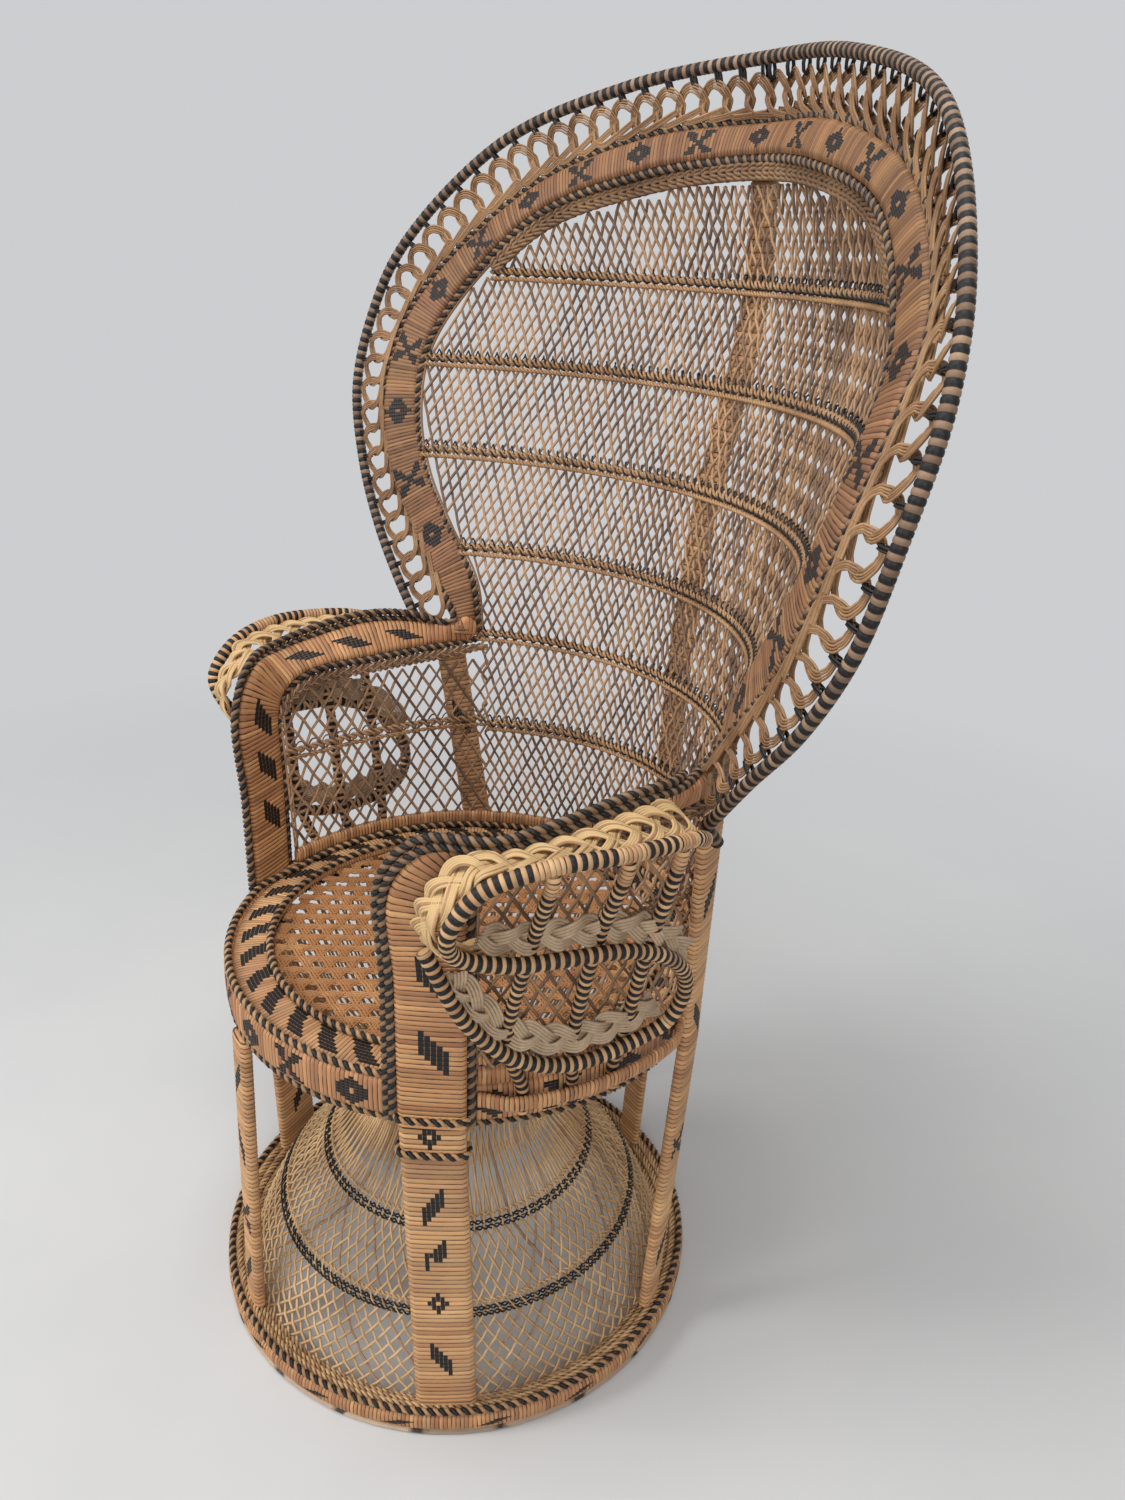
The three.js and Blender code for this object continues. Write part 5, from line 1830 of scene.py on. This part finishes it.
    def plaits(self, name: str, side: Callable) -> None:
        """The pale plait on top of the arm and the greyed ones inside the scroll.

        Args:
            name: right or left.
            side: moves points to that side.
        """
        at = self.lines
        top = Canes(f"arm_plait_{name}_canes", (PALE, NATURAL), 1)
        braid = at.arm_outer[::-1]
        depths = np.linspace(*self.arm_depths) * at.crown_depth
        front = self.upper[:, 1].min() + 1e-4
        inner_side = [self.at_depth(braid, y) for y in depths]
        outer_side = [self.at_depth(self.upper, max(y, front)) for y in depths]
        nose = at.arm_outer[: int(len(at.arm_outer) * self.nose_share)]
        under, over, below = self.nose_rises
        for place in self.outer[list(self.nose_places)]:
            outer_side.append(place - UP * under)
            height = min(place[2] + over, nose[-1][2] - below)
            near = at_lengths(nose, height, nose[:, 2])[0]
            inner_side.append(near + (place - near) * self.nose_inset)
        inner_side, outer_side = np.array(inner_side), np.array(outer_side)
        line = smooth_line((inner_side + outer_side) / 2, self.arm_steps)
        across = smooth_line(unit(outer_side - inner_side), self.arm_steps)
        facing = unit(np.cross(directions(line), across))
        gaps = np.linalg.norm(outer_side - inner_side, axis=1)[: len(depths)]
        swing = np.interp(np.arange(len(line)), *self.arm_swing)
        replace(self.arm_plait, width=gaps.mean() - self.arm_margin).lay(
            top, side(line - UP * self.arm_drop), side(facing), (0, 0, 0, 1, 0), swing
        )
        top.finish(self.shop, Slot.PALE, f"arm_plait_{name}")
        inside = Canes(f"scroll_plait_{name}", (GREYED, PALE), 1)
        for stretch, (first, last, width, rise) in zip(
            (self.middle, self.lower), self.inner_spans
        ):
            away = self.outward(stretch)[first:last]
            line = stretch[first:last] + UP * rise - away * self.inner_shift
            replace(self.inner_plait, width=width).lay(inside, side(line), side(away), (0,))
        inside.finish(self.shop, Slot.PALE)


@dataclass
class Seat(Assembly):
    """The round seat: apron, flat band, ropes and woven panel."""

    rope: Rope = Rope(pitch=0.0125, strand=0.0025, offset=0.0023)
    apron_thickness: float = 0.01
    apron_pitch: float = 0.005
    apron_cells: int = 10
    apron_figures: int = 24
    band_width: float = 0.04
    band_half: float = 0.004
    band_pitch: float = 0.0045
    band_cells: int = 8
    band_figures: int = 33
    rope_rises: tuple = (-0.0048, 0.004, 0.0043)
    edge_insets: tuple = (0.0045, 0.0115)
    front_turn: float = 0.0458 / 0.2833
    front_shares: tuple = (0.72, 0.95)
    rail_drop: float = 0.01
    rail_ends: tuple = (0.042, 0.02)
    rail_reach: tuple = (0.0055, 0.0115)
    rail_slope: float = 7
    rail_half: tuple = (0.007, 0.003)
    rail_steps: int = 40
    panel_gap: float = 0.003
    panel_drop: float = 0.0075
    panel_wave: float = 0.0012
    strip_pitch: float = 0.022
    cane: float = 0.0017
    plies: tuple = (-2, 0, 2)

    def make(self) -> None:
        """Makes the seat's pieces."""
        at = self.lines
        back = at.seat_set_back
        under, inside, over = self.rope_rises
        height = at.seat_height - at.apron_low
        middle = at.seat_radius - self.apron_thickness / 2
        apron = ring_line(middle, at.apron_low + height / 2, back)
        kinds = (Figure.CROSS, Figure.STAIR)
        marks = even_marks(apron, self.apron_pitch, self.apron_figures, kinds)
        WoundBoard(
            "apron_cane", apron, UP, height / 2, self.apron_thickness / 2, pitch=self.apron_pitch,
            closed=True, ink=Inlay(self.apron_cells, marks), cells=self.apron_cells,
        ).make(self.shop, "seat_apron")
        outer = at.seat_radius - self.apron_thickness - SEAM
        inner = outer - self.band_width
        ring = ring_line(outer - self.band_width / 2, at.seat_height - self.band_half, back)
        marks = even_marks(ring, self.band_pitch, self.band_figures, (Figure.WIDE_SLANT,))
        away = unit((ring - [0, back, 0]) * [1, 1, 0])
        WoundBoard(
            "seat_band_cane", ring, away, self.band_width / 2, self.band_half, closed=True,
            ink=Inlay(self.band_cells, marks), cells=self.band_cells, finish=POST_WRAP,
        ).make(self.shop, "seat_band")
        turn = round_turns(200)
        near = np.minimum(turn, FULL_TURN - turn)
        front = np.array(self.front_shares) * (at.post_turn + self.front_turn)
        reach = np.array([at.seat_radius, at.wall_radius]) - self.edge_insets
        edge = at.seat_place(np.interp(near, front, reach), turn, at.seat_height + over)
        for name, node, line in (
            ("apron_rope", "apron_braid", ring_line(middle, at.apron_low + under, back)),
            ("seat_inner_rope", "seat_inner_braid",
             ring_line(inner, at.seat_height + inside, back)),
            ("seat_edge_rope", "seat_edge_braid", edge),
        ):
            self.rope_ring(name, node, self.rope, line)
        self.panel(inner - self.panel_gap)
        self.rails()

    def rails(self) -> None:
        """The plain wound rails that bind the spokes' feet to the apron."""
        at = self.lines
        first = at.post_turn + self.rail_ends[0] / at.seat_radius
        last = FULL_TURN / 3 - self.rail_ends[1] / at.seat_radius
        share = np.linspace(0, 1, self.rail_steps)
        turn = first + share * (last - first)
        bulge = np.minimum(1.0, np.minimum(share, 1 - share) * self.rail_slope)
        bulge = bulge * bulge * (3 - 2 * bulge)
        radius = at.seat_radius + self.rail_reach[0] + self.rail_reach[1] * bulge
        line = at.seat_place(radius, turn, at.seat_height - self.rail_drop)
        for name, path in (("right", line), ("left", mirrored(line))):
            WoundBoard(f"apron_rail_{name}", path, UP, *self.rail_half, cells=4).make(self.shop)

    def panel(self, radius: float) -> None:
        """The seat's panel: strips of a few canes in three directions, over and under.

        Args:
            radius: how far the panel reaches.
        """
        at = self.lines
        canes = Canes("seat_canes", (SEAT, HONEY_CANE))
        top = at.seat_height - self.panel_drop
        count = int(radius / self.strip_pitch) + 1
        step = self.strip_pitch / math.sqrt(3)
        for layer in range(3):
            turn = layer * FULL_TURN / 6
            along = np.array([math.cos(turn), math.sin(turn)])
            aside = np.array([-along[1], along[0]])
            for k in range(-count, count + 1):
                for ply in self.plies:
                    shift = (k + 0.5) * self.strip_pitch + ply * self.cane
                    if abs(shift) >= radius:
                        continue
                    reach = math.sqrt(radius**2 - shift**2)
                    places = np.arange(-int(reach / step), int(reach / step) + 1)
                    ends = np.array([-reach, *(places * step), reach])
                    phase = math.pi * (np.array([0, *places, 0]) + k + layer)
                    flat = np.outer(ends, along) + shift * aside + [0, at.seat_set_back]
                    points = np.column_stack([flat, top + np.cos(phase) * self.panel_wave])
                    canes.lay(points, self.cane, (k + layer) % 2)
        canes.finish(self.shop, Slot.SEAT, "seat_panel")


@dataclass
class Base(Assembly):
    """The base ring, the hourglass skirt, the posts, legs and slat."""

    chance: np.random.Generator
    rope: Rope = Rope(pitch=0.0125, strand=0.0024, offset=0.0022)
    tie_rope: Rope = Rope(pitch=0.0125, strand=0.0022, offset=0.002)
    row_rope: Rope = Rope(pitch=0.0135, strand=0.0011, offset=0.0019)
    foot_rope: Rope = Rope(pitch=0.03, strand=0.0019, offset=0.0036, strands=4, steps=8)
    strip_height: float = 0.006
    strip_half: float = 0.0045
    strip_pitch: float = 0.09
    band_width: float = 0.018
    band_height: float = 0.021
    band_pitch: float = 0.0045
    band_cells: int = 9
    band_figures: int = 18
    rope_shift: tuple = (0.0048, 0.0045)
    wall: tuple = (
        (0.266, 0.008), (0.223, 0.099), (0.166, 0.168), (0.105, 0.262), (0.15, 0.335),
        (0.205, 0.446),
    )
    cane: float = 0.0017
    cane_lift: float = 0.8
    skirt_canes: int = 94
    dark_share: float = 0.12
    crossings: tuple = (18, 6)
    high_steps: int = 4
    spacing: tuple = (0.74, 0.26)
    feet: tuple = ((0.013, 0.0265, 0), (0.021, 0.022, 4), (0.029, 0.016, 0))
    row_heights: tuple = (0.099, 0.168)
    row_gap: float = 0.001
    row_ropes: tuple = ((0.0, 0), (0.005, 0), (0.0115, 1))
    leg_pitch: float = 0.0062
    leg_relief: float = 0.0017
    slim_width: float = 0.034
    leg_cells: tuple = (7, 12)
    wide_marks: tuple = (
        (0.965, Figure.LOZENGE), (0.745, Figure.SLANT), (0.571, Figure.HOOK),
        (0.395, Figure.LOZENGE), (0.19, Figure.BACKSLANT),
    )
    slim_marks: tuple = (
        (0.13, Figure.SLANT), (0.36, Figure.STAIR), (0.62, Figure.BACKSLANT),
        (0.86, Figure.SLANT),
    )
    tie_heights: tuple = (0.3915, 0.4335)
    tie_power: float = 0.45
    tie_reach: tuple = (0.0035, 0.0105)
    rear_top: tuple = (0.3, 0.706)
    rear_turn: float = FULL_TURN / 50
    front_top: tuple = (-0.012, -0.0096)
    slat_width: float = 0.036
    slat_depth: float = 0.004
    slat_behind: tuple = (0.0043, 0.015)
    slat_end: tuple = (0, 0.011, -0.012)
    slat_steps: int = 60

    def make(self) -> None:
        """Makes the base's pieces."""
        self.ring()
        self.skirt()
        self.posts()

    def ring(self) -> None:
        """The pale strip, the wound band and its rope."""
        at = self.lines
        middle = ring_line(at.base_radius - self.strip_half, self.strip_height / 2)
        WoundBoard(
            "floor_strip_cane", middle, UP, self.strip_height / 2, self.strip_half,
            pitch=self.strip_pitch, relief=0.0, cells=3, closed=True, finish=STRIP,
        ).make(self.shop, "floor_strip", slot=Slot.PALE)
        low = self.strip_height + SEAM
        middle = ring_line(at.base_radius - self.band_width / 2, low + self.band_height / 2)
        marks = even_marks(middle, self.band_pitch, self.band_figures, (Figure.SLANT,))
        WoundBoard(
            "base_band_cane", middle, UP, self.band_height / 2, self.band_width / 2, closed=True,
            ink=Inlay(self.band_cells, marks), cells=self.band_cells,
        ).make(self.shop, "base_band")
        inset, rise = self.rope_shift
        line = ring_line(at.base_radius - inset, low + self.band_height + rise)
        self.rope_ring("base_rope", "base_braid", self.rope, line)

    def skirt(self) -> None:
        """The crossed canes with their layered ends at the foot, and the twined rows."""
        at = self.lines
        profile = smooth_line(self.wall, 60)
        own = lengths_along(profile)
        canes = Canes("skirt_canes", (SKIRT, LATTICE_LIGHT))
        out = np.column_stack([np.gradient(profile[:, 1]), -np.gradient(profile[:, 0])])
        out /= np.linalg.norm(out, axis=1, keepdims=True)
        dense, sparse = self.crossings
        half = len(profile) // 2
        bend = np.interp(self.row_heights[1], profile[:half, 1], own[:half])
        above = np.arange(self.high_steps * sparse + 1) / self.high_steps
        steps = np.concatenate([np.arange(dense), dense + above])
        low = np.minimum(steps / dense, 1)
        high = np.maximum(steps - dense, 0) / sparse
        even, growing = self.spacing
        where = bend * low * (even + growing * low) + (own[-1] - bend) * high
        place = at_lengths(profile, where)
        outward = at_lengths(out, where, own)
        spacing = FULL_TURN / self.skirt_canes
        for way in (1, -1):
            lift = np.cos(np.pi * steps) * way * self.cane * self.cane_lift
            radius = place[:, 0] + outward[:, 0] * lift
            height = place[:, 1] + outward[:, 1] * lift
            for k in range(self.skirt_canes):
                turn = k * spacing + way * steps * spacing / 2
                points = at.base_place(radius, turn, height)
                canes.lay(points, self.cane, int(self.chance.random() < self.dark_share))
        for inset, height, shift in self.feet:
            foot = np.roll(ring_line(at.base_radius - inset, height), shift, axis=0)
            self.foot_rope.lay(canes, foot, UP, (0, 0, 0, 1), True)
        canes.finish(self.shop, Slot.CANE, "skirt_lattice")
        for title, height in zip(("lower", "upper"), self.row_heights):
            twine = Canes(f"skirt_row_{title}", (BLACK, SKIRT))
            for rise, colour in self.row_ropes:
                z = height + rise
                radius = np.interp(z, profile[:, 1], profile[:, 0]) + self.row_gap
                self.row_rope.lay(twine, ring_line(radius, z), UP, (colour, colour), True)
            twine.finish(self.shop, Slot.TWINE, f"skirt_twine_{title}")

    def leg(self, name: str, node: str, places: Line, turns: Sequence[float],
            width: float, marks: Marks, depth: float = 0.006) -> None:
        """Makes a wound leg.

        Args:
            name: the piece's name.
            node: the CAD node that it replaces.
            places: where its middle runs.
            turns: the turn that it faces at each of them.
            width: how wide it is.
            marks: its figures, by shares of its length.
            depth: half its thickness.
        """
        line = np.array(places)
        across = np.array([[math.cos(t), math.sin(t), 0] for t in turns])
        count = round(lengths_along(line)[-1] / self.leg_pitch)
        figures = [(share * count, figure) for share, figure in marks]
        cells = self.leg_cells[int(width == self.lines.post_width)]
        WoundBoard(
            name, line, across, width / 2, depth, pitch=self.leg_pitch, relief=self.leg_relief,
            cells=cells, ink=Inlay(cells, figures), finish=POST_WRAP,
        ).make(self.shop, node)

    def tie(self, ropes: Canes, middle: Array, turn: float, width: float) -> None:
        """Lays a two-tone rope round a leg.

        Args:
            ropes: the piece that it joins.
            middle: the leg's middle there.
            turn: the turn that the leg faces.
            width: how wide the leg is.
        """
        across = np.array([math.cos(turn), math.sin(turn), 0])
        out = np.array([math.sin(turn), -math.cos(turn), 0])
        phase = round_turns(32)
        x, y = (np.sign(w) * np.abs(w) ** self.tie_power for w in (np.cos(phase), np.sin(phase)))
        x, y = x * (width / 2 + self.tie_reach[0]), y * self.tie_reach[1]
        loop = middle + np.outer(x, across) + np.outer(y, out)
        self.tie_rope.lay(ropes, loop, UP, (0, 1), True)

    def posts(self) -> None:
        """The arm posts below the apron, the slim legs and the back's slat."""
        at = self.lines
        sixth = FULL_TURN / 6
        circle = at.seat_radius + at.post_stand_off
        ropes = Canes("post_ropes", (BLACK, NATURAL))
        for name, way in (("right", 1), ("left", -1)):
            turns = [way * sixth, way * at.post_turn]
            foot = at.base_place(at.leg_circle, turns[0], at.foot_height)
            head = at.seat_place(circle, turns[1], at.apron_low)
            self.leg(
                f"post_cane_{name}", f"arm_post_{name}", [foot, head], turns,
                at.post_width, self.wide_marks,
            )
            for height in self.tie_heights:
                share = min((height - at.foot_height) / (at.apron_low - at.foot_height), 1.0)
                middle = foot + share * (head - foot)
                middle[2] = height
                turn = turns[0] + share * (turns[1] - turns[0])
                self.tie(ropes, middle, turn, at.post_width)
            turns = [way * 2 * sixth] * 3 + [way * (2 * sixth - self.rear_turn)]
            places = [
                at.base_place(at.leg_circle, turns[0], at.foot_height),
                at.seat_place(circle, turns[1], at.apron_low),
                at.seat_place(circle, turns[2], at.seat_height),
                at.seat_place(self.rear_top[0], turns[3], self.rear_top[1]),
            ]
            self.leg(
                f"rear_post_cane_{name}", f"rear_post_{name}", places, turns,
                self.slim_width, self.slim_marks,
            )
        ropes.finish(self.shop, Slot.BRAID)
        inward, drop = self.front_top
        places = [
            at.base_place(at.leg_circle, 0.0, at.foot_height),
            at.base_place(at.leg_circle + inward, 0.0, at.apron_low + drop),
        ]
        self.leg(
            "front_leg_cane", "front_leg", places, (0.0, 0.0), self.slim_width,
            self.slim_marks,
        )
        low, high = self.slat_behind
        back = at.seat_set_back + at.seat_radius + low
        crown = (at.back_outer[at.steps // 2] + at.crown) / 2 + np.array(self.slat_end)
        centre = np.interp(at.rows, at.centre_line[:, 0], at.centre_line[:, 1]) + high
        places = [
            (0, at.leg_circle, at.foot_height), (0, back, at.apron_low), (0, back, at.seat_height),
            *((0, y, z) for y, z in zip(centre, at.rows)), tuple(crown),
        ]
        line = smooth_line(places, self.slat_steps)
        self.leg(
            "slat_cane", "back_slat", line, [0.0] * len(line), self.slat_width, (),
            self.slat_depth,
        )


# The scene


@dataclass(frozen=True)
class Lamp:
    """A soft square lamp, turned to the chair's middle."""

    name: str
    place: tuple
    size: float
    power: float
    target: tuple = (0, 0, 0.65)

    def hang(self) -> None:
        """Adds the lamp."""
        data = bpy.data.lights.new(self.name, "AREA")
        data.size = self.size
        data.energy = self.power
        lamp = stand(self.name, data)
        way = Vector(self.target) - Vector(self.place)
        turn = way.to_track_quat("-Z", "Y").to_matrix().to_4x4()
        lamp.matrix_world = Matrix.Translation(self.place) @ turn


@dataclass
class Studio:
    """A plain pale floor, soft light and the photograph's camera."""

    lens: float = 27.2
    sensor: float = 36.0
    floor_radius: float = 9.0
    sky_tone: Colour = (0.8, 0.81, 0.83)
    sky_light: float = 0.34
    sky_extra: float = 0.42
    eye: tuple = (1.011, -0.5485, 1.198)
    right: tuple = (0.5256, 0.85, 0.0361)
    forward: tuple = (-0.7703, 0.4934, -0.404)
    lamps: tuple = (
        Lamp("key_lamp", (-1.25, -3.5, 2.6), 1.3, 86),
        Lamp("side_lamp", (2.8, -1.5, 1.8), 1.2, 40),
        Lamp("top_lamp", (0.3, -0.5, 3.4), 1.3, 44),
        Lamp("back_lamp", (-0.6, 2.6, 2.0), 1.8, 12),
    )

    def make(self) -> None:
        """Makes the camera, the floor, the lamps and the world."""
        data = bpy.data.cameras.new("camera")
        data.sensor_width = self.sensor
        data.lens = self.lens
        camera = stand("camera", data)
        right, forward = Vector(self.right).normalized(), Vector(self.forward).normalized()
        up = right.cross(forward).normalized()
        turn = Matrix((right, up, -forward)).transposed().to_4x4()
        camera.matrix_world = Matrix.Translation(self.eye) @ turn
        bpy.context.scene.camera = camera
        shape = bmesh.new()
        bmesh.ops.create_circle(shape, cap_ends=True, segments=64, radius=self.floor_radius)
        mesh = bpy.data.meshes.new("floor")
        shape.to_mesh(mesh)
        shape.free()
        mesh.materials.append(FloorFinish("floor").material())
        floor = stand("floor", mesh)
        for lamp in self.lamps:
            lamp.hang()
        self.sky()
        bpy.context.scene.view_settings.view_transform = "Standard"

    def sky(self) -> None:
        """A pale background that the camera, gloss and clear things see, and a dimmer light."""
        world = bpy.data.worlds.new("sky")
        bpy.context.scene.world = world
        n = Nodes(world, "Background")
        path = n.add("ShaderNodeLightPath", {}).outputs
        seen = n.sum("MAXIMUM", path["Is Camera Ray"], path["Is Glossy Ray"])
        strength = n.sum("MULTIPLY_ADD", seen, self.sky_extra, self.sky_light)
        n.join(self.sky_tone, n.shader.inputs["Color"])
        n.join(strength, n.shader.inputs["Strength"])


def main() -> None:
    """Builds the chair's looks."""
    logging.basicConfig(level=logging.INFO, format="%(message)s")
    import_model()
    Studio().make()
    shop = Workshop()
    lines = ChairLines()
    chance = np.random.default_rng(SEED)
    for part in (
        Bands(shop, lines), HoopAndRings(shop, lines), BackWall(shop, lines, chance),
        ArmWalls(shop, lines, chance), Scrolls(shop, lines), Seat(shop, lines),
        Base(shop, lines, chance),
    ):
        part.make()
        LOG.info("%s made", type(part).__name__)


if __name__ == "__main__":
    main()
